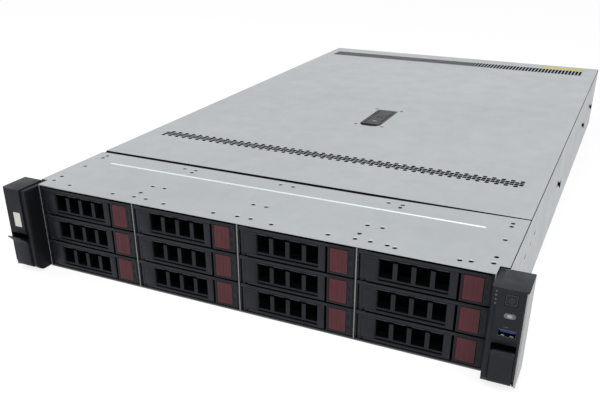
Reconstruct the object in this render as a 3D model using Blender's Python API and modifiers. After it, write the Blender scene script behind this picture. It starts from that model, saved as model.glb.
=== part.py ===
"""Storage server: a two-unit rack chassis with twelve hot-swap drive trays.

All lengths are in metres. X runs to the right as seen from the front, the front
faces -Y and Z is up. Every piece is placed from the plane of the tray fronts,
which the empty server_frame carries, so Y grows from there towards the rear wall.
"""

import math

import bmesh
import bpy
from mathutils import Matrix, Vector

# Overall sizes, which the rack sets, and the body shell between the flanges
FLANGE_SPAN = 0.4826
FLANGE_WING = 0.0188
BODY_WIDTH = FLANGE_SPAN - 2 * FLANGE_WING
BODY_HEIGHT = 0.0860
BODY_DEPTH = 0.7720
SHEET = 0.0010
SEAT = 0.0003
OVERRUN = 0.0020
JOIN = 0.0005
SHARP_ANGLE = math.radians(32)

# Tray bays and the cage that carries them
BAY_COLUMNS = 4
BAY_ROWS = 3
BAY_LIFT = 0.0009
ROW_GAP = 0.0010
CAGE_MARGIN = 0.0076
CAGE_SHEET = 0.0010
CAGE_DEPTH = 0.1700
LEDGE_REACH = 0.0013
LEDGE_THICK = 0.0012
LIP_GAP = 0.0006
CAGE_WIDTH = BODY_WIDTH - 2 * CAGE_MARGIN
BAY_PITCH = (CAGE_WIDTH - CAGE_SHEET) / BAY_COLUMNS
WALL_LIP = CAGE_MARGIN - LIP_GAP
CAGE_FLOOR = SHEET + SEAT
CAGE_TOP = BODY_HEIGHT - SHEET - SEAT
FIRST_ROW = CAGE_FLOOR + CAGE_SHEET + BAY_LIFT
ROW_PITCH = (CAGE_TOP - BAY_LIFT - FIRST_ROW + ROW_GAP) / BAY_ROWS

# Rack flanges
FLANGE_THICK = 0.0015
FLANGE_LOW = 0.0045
FLANGE_RELIEF = 0.0004
STRIP_FRONT = -0.0180
EAR_BACK = 0.0105
FLANGE_FRONT = EAR_BACK + SEAT
WIDE_START = FLANGE_FRONT + FLANGE_THICK + SEAT

# Ears
EAR_REACH = 0.0205
EAR_CAP = 0.0016
EAR_BAND = 0.0070
EAR_STEP = 0.0022
EAR_TOP_STEP = 0.0012
EAR_ROUND = 0.0028
EAR_EDGE = 0.0010
EAR_FOOT = 0.0100
EAR_INNER = CAGE_WIDTH / 2 + SEAT
EAR_OUTER = FLANGE_SPAN / 2 - FLANGE_THICK - SEAT
FLANGE_TOP = BODY_HEIGHT - EAR_CAP - SEAT
ARC_STEPS = 3
HUB_ARC_STEPS = 2

# Ear latches
LATCH_DROP = 0.0512
LATCH_TOP = BODY_HEIGHT - LATCH_DROP
LATCH_ARC = 0.0055
LATCH_PIVOT_Z = 0.0100
LATCH_PIN = 0.0013
LATCH_BEARING = 0.0017
LATCH_PIN_REACH = 0.0010
OUTER_CHEEK = 0.0012
FINGER_HEIGHT = 0.0067
LIP_REACH = 0.0065
LIP_THICK = 0.0014
LIP_DROP = 0.0030
LIP_OVERHANG = 0.0012
LATCH_PIVOT_Y = -EAR_REACH + LATCH_ARC
NICHE_LOW = EAR_INNER + EAR_BAND
NICHE_HIGH = EAR_OUTER - OUTER_CHEEK
NICHE_BACK = LATCH_PIVOT_Y + LATCH_ARC + SEAT

# Controls on the right ear, placed from its outer edge and its top
POWER_INSET = 0.0110
POWER_DROP = 0.0083
POWER_X = FLANGE_SPAN / 2 - POWER_INSET
POWER_Z = BODY_HEIGHT - POWER_DROP
POWER_SIZE = 0.0086
POWER_THICK = 0.0030
POWER_TRAVEL = 0.0010
UID_INSET = 0.0108
UID_DROP = 0.0212
UID_X = FLANGE_SPAN / 2 - UID_INSET
UID_Z = BODY_HEIGHT - UID_DROP
UID_WIDTH = 0.0086
UID_HEIGHT = 0.0044
UID_THICK = 0.0030
UID_TRAVEL = 0.0008
USB_INSET = 0.0110
USB_DROP = 0.0355
USB_X = FLANGE_SPAN / 2 - USB_INSET
USB_Z = BODY_HEIGHT - USB_DROP
USB_WIDTH = 0.0131
USB_HEIGHT = 0.0057
USB_DEPTH = 0.0130
USB_SHELL = 0.0004
USB_TONGUE = 0.0018
USB_TONGUE_DROP = 0.0005
USB_BACK = 0.0010

# Drive trays, each measured from the middle of its own front's lower edge
TRAY_SIDE_GAP = 0.0016
TRAY_WIDTH = BAY_PITCH - CAGE_SHEET - 2 * TRAY_SIDE_GAP
TRAY_HEIGHT = ROW_PITCH - ROW_GAP
TOP_RAIL = 0.0032
BLOCK_WIDTH = 0.0225
LEVER_THICK = 0.0060
LEVER_BACK_GAP = 0.0010
LEVER_END_GAP = 0.0020
LEVER_WIDTH = TRAY_WIDTH - BLOCK_WIDTH - LEVER_END_GAP
PLATE_THICK = 0.0025
WINDOW_COUNT = 4
WINDOW_START = 0.0185
WINDOW_END = 0.0065
WINDOW_POST = 0.0037
WINDOW_PITCH = (LEVER_WIDTH - WINDOW_START - WINDOW_END + WINDOW_POST) / WINDOW_COUNT
WINDOW_WIDTH = WINDOW_PITCH - WINDOW_POST
WINDOW_SILL = 0.0049
WINDOW_LINTEL = 0.0027
WINDOW_DRAFT = 0.0010
POST_SETBACK = 0.0010
HINGE_CHEEK = 0.0015
HINGE_PIN = 0.0011
HINGE_HOLE = 0.0015
HINGE_SIDES = 6
LEVER_ARC_STEPS = 4
TILE_WIDTH = 0.0150
TILE_THICK = 0.0035
TILE_RISE = 0.0018
TILE_DROP = 0.0038
TILE_HEIGHT = TRAY_HEIGHT - TILE_RISE - TILE_DROP
TILE_POST = 0.0022
TILE_TRAVEL = 0.0015
TILE_EDGE = 0.0004
DISK_SIDE = 0.0007
DISK_RISE = 0.0006
DISK_WIDTH = TRAY_WIDTH - 2 * DISK_SIDE
DISK_HEIGHT = TRAY_HEIGHT - 2 * DISK_RISE
DISK_LENGTH = 0.1470
DISK_START = 0.0180
RUNNER_CLEARANCE = 0.0005
RUNNER_RISE = 0.0080
RUNNER_HEIGHT = 0.0100
LEVER_HEIGHT = TRAY_HEIGHT - TOP_RAIL - SEAT
LEVER_LEFT = -TRAY_WIDTH / 2
PIVOT_RADIUS = LEVER_THICK / 2
PLATE_FRONT = LEVER_THICK + LEVER_BACK_GAP
BLOCK_LEFT = LEVER_LEFT + LEVER_WIDTH + LEVER_END_GAP
TILE_LEFT = BLOCK_LEFT + TILE_POST
DISK_END = DISK_START + DISK_LENGTH
RUNNER_REACH = (BAY_PITCH - CAGE_SHEET) / 2 - RUNNER_CLEARANCE

# Backplane behind the cage
BOARD = 0.0020
SOCKET_WIDTH = 0.0420
SOCKET_HEIGHT = 0.0050
SOCKET_RISE = 0.0050
AIR_HOLE_WIDTH = 0.0600
AIR_HOLE_HEIGHT = 0.0100
AIR_HOLE_RISE = 0.0130
BACKPLANE_FRONT = CAGE_DEPTH + SEAT

# Front deck
DECK_DEPTH = 0.1080
SEAM = 0.0020
TOP_INSET = 0.0004
RIB_START = 0.0765
RIB_WIDTH = 0.0048
RIB_MARGIN = 0.0305
RIB_LENGTH = BODY_WIDTH - 2 * RIB_MARGIN
RIB_DEPTH = 0.0004
HOLE_RADIUS = 0.0017
HOLE_SPREAD = 0.0065
HOLE_FRONT = 0.0130
HOLE_MIDDLE = 0.0420
HOLE_SIDE = 0.0300
HOLE_SIDE_START = 0.0110

# Top cover
VENT_MARGIN = 0.0185
VENT_SPAN = BODY_WIDTH - 2 * VENT_MARGIN
FRONT_VENT_START = 0.1840
FRONT_VENT_LENGTH = 0.0080
FRONT_VENT_STEP = 0.0090
FRONT_VENT_WIDTH = 0.0042
FRONT_VENT_COUNT = int(VENT_SPAN / FRONT_VENT_STEP)
REAR_VENT_END = 0.0300
REAR_VENT_LENGTH = 0.0240
REAR_VENT_WIDTH = 0.0090
REAR_VENT_STEP = 0.0120
REAR_VENT_START = BODY_DEPTH - REAR_VENT_END - REAR_VENT_LENGTH
REAR_VENT_COUNT = round(VENT_SPAN / REAR_VENT_STEP)
GUIDE_GAP = 0.0005
GUIDE_HEIGHT = 0.0040
GUIDE_START = 0.2620
GUIDE_SUPPLY_GAP = 0.0870

# Cover latch
HANDLE_WIDTH = 0.0250
HANDLE_LENGTH = 0.0660
HANDLE_FRONT = 0.3270
HANDLE_THICK = 0.0030
HANDLE_BARREL = 0.0025
HANDLE_GAP = 0.0005
HANDLE_PIN = 0.0010
HANDLE_BEARING = 0.0014
SCOOP_NECK = 0.0010
SCOOP_BULGE = 0.0095
SCOOP_STEPS = 8
CUP_WALL = 0.0015
CUP_DEPTH = 0.0100
CUP_RIM_THICK = 0.0012
CUP_RIM_WIDTH = 0.0410
CUP_RIM_MARGIN = 0.0085
HANDLE_AXIS_Y = HANDLE_FRONT + HANDLE_LENGTH - HANDLE_BARREL
HANDLE_AXIS_Z = BODY_HEIGHT - HANDLE_BARREL

# Fans
FAN_COUNT = 4
FAN_SIDE_MARGIN = 0.0125
FAN_START_GAP = 0.0320
FAN_DEPTH = 0.0380
FAN_TOP_GAP = 0.0019
FAN_RIM = 0.00275
FAN_PITCH = (BODY_WIDTH - 2 * FAN_SIDE_MARGIN) / FAN_COUNT
FAN_HEIGHT = CAGE_TOP - CAGE_FLOOR - FAN_TOP_GAP
FAN_FRONT = CAGE_DEPTH + FAN_START_GAP
FAN_BORE = FAN_HEIGHT / 2 - FAN_RIM
FAN_BORE_SIDES = 16
STATOR_HUB = 0.0150
STATOR_THICK = 0.0040
STATOR_ARM = 0.0040
STATOR_ARMS = 3
SPINDLE = 0.0016
SPINDLE_LENGTH = 0.0100
SPINDLE_HOLE = 0.0021
ROTOR_HUB = 0.0190
ROTOR_LENGTH = 0.0260
ROTOR_GAP = 0.0004
ROTOR_CLEARANCE = 0.0020
ROTOR_TIP = FAN_BORE - ROTOR_CLEARANCE
ROTOR_SIDES = 14
BLADE_COUNT = 5
BLADE_CHORD = 0.0160
BLADE_THICK = 0.0012
BLADE_STEPS = 2
BLADE_ROOT_PITCH = math.radians(48)
BLADE_TIP_PITCH = math.radians(26)
BLADE_ROOT_SHARE = 0.85
FAN_BACK = FAN_FRONT + FAN_DEPTH
FAN_AXIS_Z = CAGE_FLOOR + FAN_HEIGHT / 2

# Power supplies
PSU_COUNT = 2
PSU_WIDTH = 0.0735
PSU_LENGTH = 0.1850
PSU_TOP_GAP = 0.0018
PSU_SPACER = SHEET + 2 * SEAT
PSU_HEIGHT = (CAGE_TOP - SHEET - CAGE_FLOOR - PSU_TOP_GAP - (PSU_COUNT - 1) * PSU_SPACER) / PSU_COUNT
HANDLE_BAR = 0.0018
PSU_HANDLE_REACH = 0.0260
PSU_HANDLE_SPREAD = 0.0200
PSU_HANDLE_X = 0.0235
PSU_HANDLE_BEND = 0.0060
INLET_X = -0.0190
INLET_WIDTH = 0.0240
INLET_HEIGHT = 0.0165
INLET_DEPTH = 0.0150
INLET_PIN_WIDTH = 0.0022
INLET_PIN_HEIGHT = 0.0040
INLET_PIN_LENGTH = 0.0090
INLET_PIN_SPREAD = 0.0070
INLET_PIN_RISE = 0.0020
GUARD_X = 0.0085
GUARD_RADIUS = 0.0145
GUARD_DEPTH = 0.0030
GUARD_HUB = 0.0050
GUARD_ARM = 0.0016
GUARD_ARMS = 4
GUARD_SIDES = 12
PSU_X = BODY_WIDTH / 2 - SHEET - SEAT - PSU_WIDTH / 2
PARTITION_X = PSU_X - PSU_WIDTH / 2 - SEAT - SHEET
GUIDE_END = BODY_DEPTH - PSU_LENGTH - GUIDE_SUPPLY_GAP
PSU_PITCH = PSU_HEIGHT + PSU_SPACER

# Rear wall
REAR_FLANGE = 0.0100
SHELF_LENGTH = 0.1800
CARD_VENT_ROWS = 3
CARD_VENT_COLUMNS = 4
CARD_VENT_WIDTH = 0.0180
CARD_VENT_HEIGHT = 0.0050
CARD_VENT_STEP = 0.0230
CARD_VENT_LOW = 0.0350
CARD_VENT_TOP_GAP = 0.0107
CARD_VENT_RISE = (CAGE_TOP - CARD_VENT_TOP_GAP - CARD_VENT_HEIGHT - CARD_VENT_LOW) / (CARD_VENT_ROWS - 1)
LEFT_CARD_PLACE = 0.0775
RIGHT_CARD_PLACE = 0.2025
CARD_GROUP_X = (LEFT_CARD_PLACE - BODY_WIDTH / 2, RIGHT_CARD_PLACE - BODY_WIDTH / 2)
PORT_CLEARANCE = 0.0004

# Main board and what stands on it
BOARD_FAN_GAP = 0.0220
BOARD_MARGIN = 0.0125
BOARD_SUPPLY_GAP = 0.0170
BOARD_END_GAP = 0.0080
BOARD_SIDE_GAP = 0.0040
BOARD_START = FAN_BACK + BOARD_FAN_GAP
BOARD_HALF_WIDTH = BODY_WIDTH / 2 - BOARD_MARGIN
BOARD_STEP = BODY_DEPTH - PSU_LENGTH - BOARD_SUPPLY_GAP
STANDOFF = 0.0060
STANDOFF_RADIUS = 0.0030
STANDOFF_MARGIN = 0.0120
SINK_X = 0.0560
SINK_INSET = 0.0580
SINK_START = BOARD_START + SINK_INSET
SINK_LENGTH = 0.1050
SINK_WIDTH = 0.0780
SINK_BASE = 0.0080
SINK_TOP_GAP = 0.0034
FIN_COUNT = 7
FIN_THICK = 0.0020
MEMORY_X = 0.1350
MEMORY_STEP = 0.0100
MEMORY_COUNT = 4
MEMORY_LENGTH = 0.1330
MEMORY_THICK = 0.0040
MEMORY_HEIGHT = 0.0310
PORT_LENGTH = 0.0220
NET_PORT_WIDTH = 0.0160
NET_PORT_HEIGHT = 0.0135
NET_PORT_WALL = 0.0020
NET_PORT_DEPTH = 0.0120
FIRST_PORT_PLACE = 0.0525
SECOND_PORT_PLACE = 0.0745
THIRD_PORT_PLACE = 0.1125
SERIAL_PORT_PLACE = 0.1525
NET_PORT_X = tuple(place - BODY_WIDTH / 2 for place in (FIRST_PORT_PLACE, SECOND_PORT_PLACE, THIRD_PORT_PLACE))
SERIAL_PORT_X = SERIAL_PORT_PLACE - BODY_WIDTH / 2
SERIAL_PORT_WIDTH = 0.0300
SERIAL_PORT_HEIGHT = 0.0110
BOARD_UNDER = SHEET + STANDOFF
BOARD_TOP = BOARD_UNDER + BOARD

# Air baffle
BAFFLE_HALF_WIDTH = 0.1180
BAFFLE_THICK = 0.0015
BAFFLE_OVERHANG = 0.0200
BAFFLE_GAP = 0.0008
BAFFLE_END = SINK_START + SINK_LENGTH + BAFFLE_OVERHANG
BAFFLE_TOP = CAGE_TOP - CUP_DEPTH - BAFFLE_GAP
SINK_TOP = BAFFLE_TOP - BAFFLE_THICK - SINK_TOP_GAP

# Rail studs on the body sides
FRONT_STUD_PLACE = 0.3310
MIDDLE_STUD_END = 0.1810
REAR_STUD_END = 0.0690
STUD_Y = (FRONT_STUD_PLACE, BODY_DEPTH - MIDDLE_STUD_END, BODY_DEPTH - REAR_STUD_END)
STUD_Z = BODY_HEIGHT / 2
STUD_NECK = 0.0022
STUD_HEAD = 0.0042
STUD_REACH = 0.0024
STUD_SIDES = 10
FRONT_SLOT_PLACE = 0.1000
REAR_SLOT_PLACE = 0.1540
SIDE_SLOT_Y = (FRONT_SLOT_PLACE, REAR_SLOT_PLACE)
SIDE_SLOT_DROP = 0.0300
SIDE_SLOT_Z = BODY_HEIGHT - SIDE_SLOT_DROP
SIDE_SLOT_LENGTH = 0.0090
SIDE_SLOT_HEIGHT = 0.0030
PIN_SIDES = 8

# The whole part is centred on Y = 0 between the latch lips and the supply handles
FRONT_REACH = EAR_REACH + LIP_REACH
FRONT_Y = FRONT_REACH - (FRONT_REACH + BODY_DEPTH + PSU_HANDLE_REACH) / 2

# Colour, roughness and metallic value of each material
STEEL = ("galvanised_steel", (0.56, 0.58, 0.59), 0.38, 0.85)
BLACK = ("black_plastic", (0.028, 0.031, 0.035), 0.50, 0.0)
GRILLE = ("grille_plastic", (0.034, 0.038, 0.042), 0.45, 0.0)
RED = ("red_plastic", (0.120, 0.030, 0.038), 0.45, 0.0)
EAR = ("ear_plastic", (0.045, 0.046, 0.048), 0.48, 0.0)
PALE = ("pale_button", (0.330, 0.340, 0.350), 0.45, 0.0)
BOARD_GREEN = ("circuit_board", (0.020, 0.110, 0.055), 0.50, 0.0)
PORT = ("port_metal", (0.600, 0.600, 0.600), 0.30, 1.0)
SUPPLY = ("supply_case", (0.420, 0.430, 0.440), 0.40, 0.8)


def clear_scene():
    """Take away every object that the file starts with."""
    for thing in list(bpy.data.objects):
        bpy.data.objects.remove(thing, do_unlink=True)


def new_collection(name):
    """Collection linked to the scene."""
    group = bpy.data.collections.new(name)
    bpy.context.scene.collection.children.link(group)
    return group


def new_material(look):
    """Principled material made once from its name, colour, roughness and metallic value."""
    name, colour, roughness, metallic = look
    if name in bpy.data.materials:
        return bpy.data.materials[name]
    material = bpy.data.materials.new(name)
    material.use_nodes = True
    shader = material.node_tree.nodes["Principled BSDF"]
    shader.inputs["Base Color"].default_value = (*colour, 1.0)
    shader.inputs["Roughness"].default_value = roughness
    shader.inputs["Metallic"].default_value = metallic
    material.diffuse_color = (*colour, 1.0)
    return material


def closed_mesh(shape):
    """Mesh of a finished shape, its faces pointing out and its round sides smooth."""
    bmesh.ops.recalc_face_normals(shape, faces=shape.faces)
    mesh = bpy.data.meshes.new("shape")
    shape.to_mesh(mesh)
    shape.free()
    mesh.shade_smooth()
    mesh.set_sharp_from_angle(angle=SHARP_ANGLE)
    return mesh


def box_mesh(*boxes):
    """Mesh of separate boxes, each given by its spans along X, Y and Z."""
    shape = bmesh.new()
    for spans in boxes:
        middle = Vector([(low + high) / 2 for low, high in spans])
        size = [high - low for low, high in spans]
        place = Matrix.Translation(middle) @ Matrix.Diagonal((*size, 1.0))
        bmesh.ops.create_cube(shape, size=1.0, matrix=place)
    return closed_mesh(shape)


def turned_to(axis):
    """Rotation that takes +Z to the named axis."""
    if axis == "X":
        return Matrix.Rotation(math.pi / 2, 4, "Y")
    if axis == "Y":
        return Matrix.Rotation(-math.pi / 2, 4, "X")
    return Matrix.Identity(4)


def rod_mesh(axis, low, high, centres, radius, sides, end_radius=None):
    """Mesh of like rods from low to high along an axis, each through its centre."""
    shape = bmesh.new()
    along = "XYZ".index(axis)
    for centre in centres:
        middle = Vector(centre)
        middle[along] = (low + high) / 2
        bmesh.ops.create_cone(
            shape, cap_ends=True, segments=sides, depth=high - low, radius1=radius,
            radius2=radius if end_radius is None else end_radius,
            matrix=Matrix.Translation(middle) @ turned_to(axis))
    return closed_mesh(shape)


def whole_caps(shape):
    """Lay each end of a prism drawn out along Z as one face, free of slivers."""
    caps = [face for face in shape.faces if len({vert.co.z > 0 for vert in face.verts}) == 1]
    bmesh.ops.delete(shape, geom=caps, context="FACES")
    rims = [edge for edge in shape.edges if edge.is_boundary]
    bmesh.ops.edgeloop_fill(shape, edges=rims)


def curve_mesh(curve, place):
    """Mesh of a curve with its caps welded, moved to its place."""
    guide = bpy.data.objects.new("guide", curve)
    bpy.context.scene.collection.objects.link(guide)
    graph = bpy.context.evaluated_depsgraph_get()
    made = bpy.data.meshes.new_from_object(guide.evaluated_get(graph))
    bpy.data.objects.remove(guide, do_unlink=True)
    shape = bmesh.new()
    shape.from_mesh(made)
    bmesh.ops.remove_doubles(shape, verts=shape.verts, dist=SEAT / 10)
    if curve.dimensions == "2D":
        whole_caps(shape)
    bmesh.ops.transform(shape, matrix=place, verts=shape.verts)
    return closed_mesh(shape)


def poly_curve(points, cyclic):
    """Curve with one spline of straight stretches through the points."""
    curve = bpy.data.curves.new("guide", "CURVE")
    spline = curve.splines.new("POLY")
    spline.points.add(len(points) - 1)
    for knot, point in zip(spline.points, points):
        knot.co = (*point, 1.0)
    spline.use_cyclic_u = cyclic
    return curve


def prism_mesh(axis, outline, low, high):
    """Mesh of a flat outline, filled and drawn out from low to high along an axis.

    The outline's two coordinates are Y and Z along X, X and Z along Y, X and Y along Z.
    """
    curve = poly_curve([(*point, 0.0) for point in outline], True)
    curve.dimensions = "2D"
    curve.fill_mode = "BOTH"
    curve.extrude = (high - low) / 2
    axes = {"X": ((0, 1, 0), (0, 0, 1)), "Y": ((1, 0, 0), (0, 0, 1)), "Z": ((1, 0, 0), (0, 1, 0))}
    first, second = (Vector(direction) for direction in axes[axis])
    turn = Matrix((first, second, first.cross(second))).transposed().to_4x4()
    middle = Vector((0, 0, 0))
    middle["XYZ".index(axis)] = (low + high) / 2
    return curve_mesh(curve, Matrix.Translation(middle) @ turn)


def arc(centre, radius, start, end, steps):
    """Points of an arc between two angles in degrees, both ends included."""
    angles = [math.radians(start + (end - start) * step / steps) for step in range(steps + 1)]
    return [(centre[0] + radius * math.cos(a), centre[1] + radius * math.sin(a)) for a in angles]


def rectangle(x_span, y_span):
    """Four corners of a rectangle, anticlockwise."""
    return [(x_span[0], y_span[0]), (x_span[1], y_span[0]), (x_span[1], y_span[1]), (x_span[0], y_span[1])]


def mirrored(outline):
    """The outline seen in a mirror across its first coordinate."""
    return [(-first, second) for first, second in outline]


def star_outline(arms, hub, reach, width):
    """Round hub with straight arms of one width, each running out to the reach."""
    half = width / 2
    root = math.degrees(math.asin(half / hub))
    turn = 360 / arms
    points = []
    for index in range(arms):
        middle = math.radians(index * turn)
        along = Vector((math.cos(middle), math.sin(middle)))
        across = Vector((-along.y, along.x))
        points += [tuple(along * reach - across * half), tuple(along * reach + across * half)]
        points += arc((0, 0), hub, index * turn + root, (index + 1) * turn - root, HUB_ARC_STEPS)
    return points


def softened(mesh, chosen, width, segments):
    """The mesh with its chosen edges rounded off."""
    shape = bmesh.new()
    shape.from_mesh(mesh)
    edges = [edge for edge in shape.edges if chosen(edge)]
    bmesh.ops.bevel(
        shape, geom=edges, offset=width, segments=segments, profile=0.5, affect="EDGES", clamp_overlap=True)
    return closed_mesh(shape)


def on_top(height):
    """Test for the edges that lie at a height."""
    return lambda edge: all(abs(vert.co.z - height) < SEAT / 2 for vert in edge.verts)


def on_front(depth):
    """Test for the edges that lie at a depth."""
    return lambda edge: all(abs(vert.co.y - depth) < SEAT / 2 for vert in edge.verts)


def add_tools(piece, steps):
    """Join each tool mesh to the piece or cut it away, in order."""
    for index, (operation, mesh) in enumerate(steps):
        tool = bpy.data.objects.new(f"{piece.name}_tool_{index}", mesh)
        tool.parent = piece
        tool.hide_render = True
        tool.display_type = "WIRE"
        TOOLS.objects.link(tool)
        change = piece.modifiers.new(f"{operation.lower()}_{index}", "BOOLEAN")
        change.operation = operation
        change.object = tool
        change.solver = "EXACT"


def add_piece(name, mesh, look, steps=(), origin=(0, 0, 0), carrier=None):
    """Named piece of the server, with its own material and its origin on its carrier."""
    piece = bpy.data.objects.new(name, mesh)
    piece.parent = carrier or FRAME
    piece.location = origin
    SERVER.objects.link(piece)
    if not mesh.materials:
        mesh.materials.append(new_material(look))
    add_tools(piece, steps)
    return piece


def worked_mesh(blank, steps):
    """Mesh that a blank becomes once its tools have been joined to it or cut from it."""
    master = add_piece("master", blank, BLACK, steps)
    bpy.context.view_layer.update()
    graph = bpy.context.evaluated_depsgraph_get()
    mesh = bpy.data.meshes.new_from_object(master.evaluated_get(graph))
    for tool in [change.object for change in master.modifiers]:
        bpy.data.objects.remove(tool, do_unlink=True)
    bpy.data.objects.remove(master, do_unlink=True)
    mesh.materials.clear()
    return mesh


def both_sides(span):
    """A span to the right of the middle and its mirror image to the left."""
    return (span, (-span[1], -span[0]))


def around(middle, width):
    """Span of a width about its middle."""
    return (middle - width / 2, middle + width / 2)


def grown(span, by):
    """Span made longer at both ends."""
    return (span[0] - by, span[1] + by)


def build_chassis_base():
    """Floor and side walls folded from one sheet, with rail studs on the outside."""
    half = BODY_WIDTH / 2
    right = [
        (half, 0), (half, CAGE_TOP), (half - WALL_LIP, CAGE_TOP), (half - WALL_LIP, CAGE_TOP - SHEET),
        (half - SHEET, CAGE_TOP - SHEET), (half - SHEET, SHEET)]
    left = mirrored(reversed(right))
    trough = prism_mesh("Y", right + left, WIDE_START, BODY_DEPTH - SHEET - SEAT)
    tongue = box_mesh((around(0, CAGE_WIDTH), (0, WIDE_START + OVERRUN), (0, SHEET)))
    studs = [(0, y, STUD_Z) for y in STUD_Y]
    right_studs = rod_mesh("X", half - SHEET / 2, half + STUD_REACH, studs, STUD_NECK, STUD_SIDES, STUD_HEAD)
    left_studs = rod_mesh("X", -half - STUD_REACH, -half + SHEET / 2, studs, STUD_HEAD, STUD_SIDES, STUD_NECK)
    slots = box_mesh(*[
        (grown(side, OVERRUN), around(y, SIDE_SLOT_LENGTH), around(SIDE_SLOT_Z, SIDE_SLOT_HEIGHT))
        for side in both_sides((half - SHEET, half)) for y in SIDE_SLOT_Y])
    steps = [("UNION", tongue), ("UNION", right_studs), ("UNION", left_studs), ("DIFFERENCE", slots)]
    add_piece("chassis_base", trough, STEEL, steps)


def divider_places():
    """X of the cage's walls, the two outer ones included."""
    return [(index - BAY_COLUMNS / 2) * BAY_PITCH for index in range(BAY_COLUMNS + 1)]


def ledge_points(face, direction):
    """Ledges up one face of a cage wall, as an outline from the floor to the top."""
    points = []
    for row in range(BAY_ROWS):
        top = FIRST_ROW + row * ROW_PITCH + RUNNER_RISE - SEAT
        tip = face + direction * LEDGE_REACH
        points += [(face, top - LEDGE_THICK), (tip, top - LEDGE_THICK), (tip, top), (face, top)]
    return points


def cage_outline():
    """Cross-section of the cage: floor, walls and the ledges that the trays run on."""
    floor_top = CAGE_FLOOR + CAGE_SHEET
    half = CAGE_WIDTH / 2
    points = [(-half, CAGE_FLOOR), (half, CAGE_FLOOR)]
    for x in reversed(divider_places()):
        right, left = x + CAGE_SHEET / 2, x - CAGE_SHEET / 2
        if right < half - SEAT:
            points += [(right, floor_top)] + ledge_points(right, 1)
        points += [(right, CAGE_TOP), (left, CAGE_TOP)]
        if left > SEAT - half:
            points += list(reversed(ledge_points(left, -1))) + [(left, floor_top)]
    return points


def flange_outline():
    """Plan of the right rack flange, folded forward along the ear's outer side.

    Its rear face is relieved where it passes the body's wall, so that only the part
    outside the body meets the rack post.
    """
    inner, outer = CAGE_WIDTH / 2 - CAGE_SHEET / 2, FLANGE_SPAN / 2
    step = BODY_WIDTH / 2 + SEAT
    back = FLANGE_FRONT + FLANGE_THICK
    return [
        (inner, FLANGE_FRONT), (outer - FLANGE_THICK, FLANGE_FRONT), (outer - FLANGE_THICK, STRIP_FRONT),
        (outer, STRIP_FRONT), (outer, back), (step, back), (step, back - FLANGE_RELIEF),
        (inner, back - FLANGE_RELIEF)]


def build_drive_cage():
    """Tray cage drawn out in one section, with the rack flanges on its sides."""
    cage = prism_mesh("Y", cage_outline(), 0, CAGE_DEPTH)
    right = prism_mesh("Z", flange_outline(), FLANGE_LOW, FLANGE_TOP)
    left = prism_mesh("Z", mirrored(flange_outline()), FLANGE_LOW, FLANGE_TOP)
    add_piece("drive_cage", cage, STEEL, [("UNION", right), ("UNION", left)])


def deck_holes():
    """Centres of the holes punched in the front deck along the cage walls."""
    inner = divider_places()[1:-1]
    pairs = [(x + side * HOLE_SPREAD, y, 0) for x in inner for side in (-1, 1) for y in (HOLE_FRONT, HOLE_MIDDLE)]
    singles = [(x + HOLE_SIDE, HOLE_SIDE_START, 0) for x in divider_places()[:-1]]
    return pairs + singles


def build_front_deck():
    """Fixed sheet over the trays, notched round the ears, with a pressed rib across it."""
    front, wide = CAGE_WIDTH / 2, BODY_WIDTH / 2 - TOP_INSET
    right = [(front, 0), (front, WIDE_START), (wide, WIDE_START), (wide, DECK_DEPTH)]
    sheet = prism_mesh("Z", right + mirrored(reversed(right)), BODY_HEIGHT - SHEET, BODY_HEIGHT)
    rib = box_mesh((
        around(0, RIB_LENGTH), (RIB_START, RIB_START + RIB_WIDTH), (BODY_HEIGHT - RIB_DEPTH, BODY_HEIGHT + OVERRUN)))
    holes = rod_mesh("Z", BODY_HEIGHT - SHEET - OVERRUN, BODY_HEIGHT + OVERRUN, deck_holes(), HOLE_RADIUS, PIN_SIDES)
    add_piece("front_deck", sheet, STEEL, [("DIFFERENCE", rib), ("DIFFERENCE", holes)])


def latch_opening(margin):
    """Plan of the opening round the latch handle, its front bulging into a finger scoop."""
    half = HANDLE_WIDTH / 2 + margin
    neck = HANDLE_FRONT - SCOOP_NECK
    bulge = SCOOP_BULGE + margin
    radius = (half ** 2 + bulge ** 2) / (2 * bulge)
    centre = (0, neck - bulge + radius)
    end = math.degrees(math.atan2(neck - centre[1], half))
    rear = HANDLE_FRONT + HANDLE_LENGTH + margin
    return arc(centre, radius, -180 - end, end, SCOOP_STEPS) + [(half, rear), (-half, rear)]


def vent_boxes():
    """Openings of the cover's vents: two staggered rows in front, one row of slots behind."""
    thick = grown((BODY_HEIGHT - SHEET, BODY_HEIGHT), OVERRUN)
    boxes = []
    for index in range(FRONT_VENT_COUNT):
        x = (index - (FRONT_VENT_COUNT - 1) / 2) * FRONT_VENT_STEP
        near = (FRONT_VENT_START, FRONT_VENT_START + FRONT_VENT_LENGTH)
        far = tuple(y + FRONT_VENT_STEP for y in near)
        shift = FRONT_VENT_STEP / 4
        boxes += [(around(x + shift, FRONT_VENT_WIDTH), near, thick), (around(x - shift, FRONT_VENT_WIDTH), far, thick)]
    for index in range(REAR_VENT_COUNT):
        x = (index - (REAR_VENT_COUNT - 1) / 2) * VENT_SPAN / REAR_VENT_COUNT
        boxes.append((around(x, REAR_VENT_WIDTH), (REAR_VENT_START, REAR_VENT_START + REAR_VENT_LENGTH), thick))
    return boxes


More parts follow.
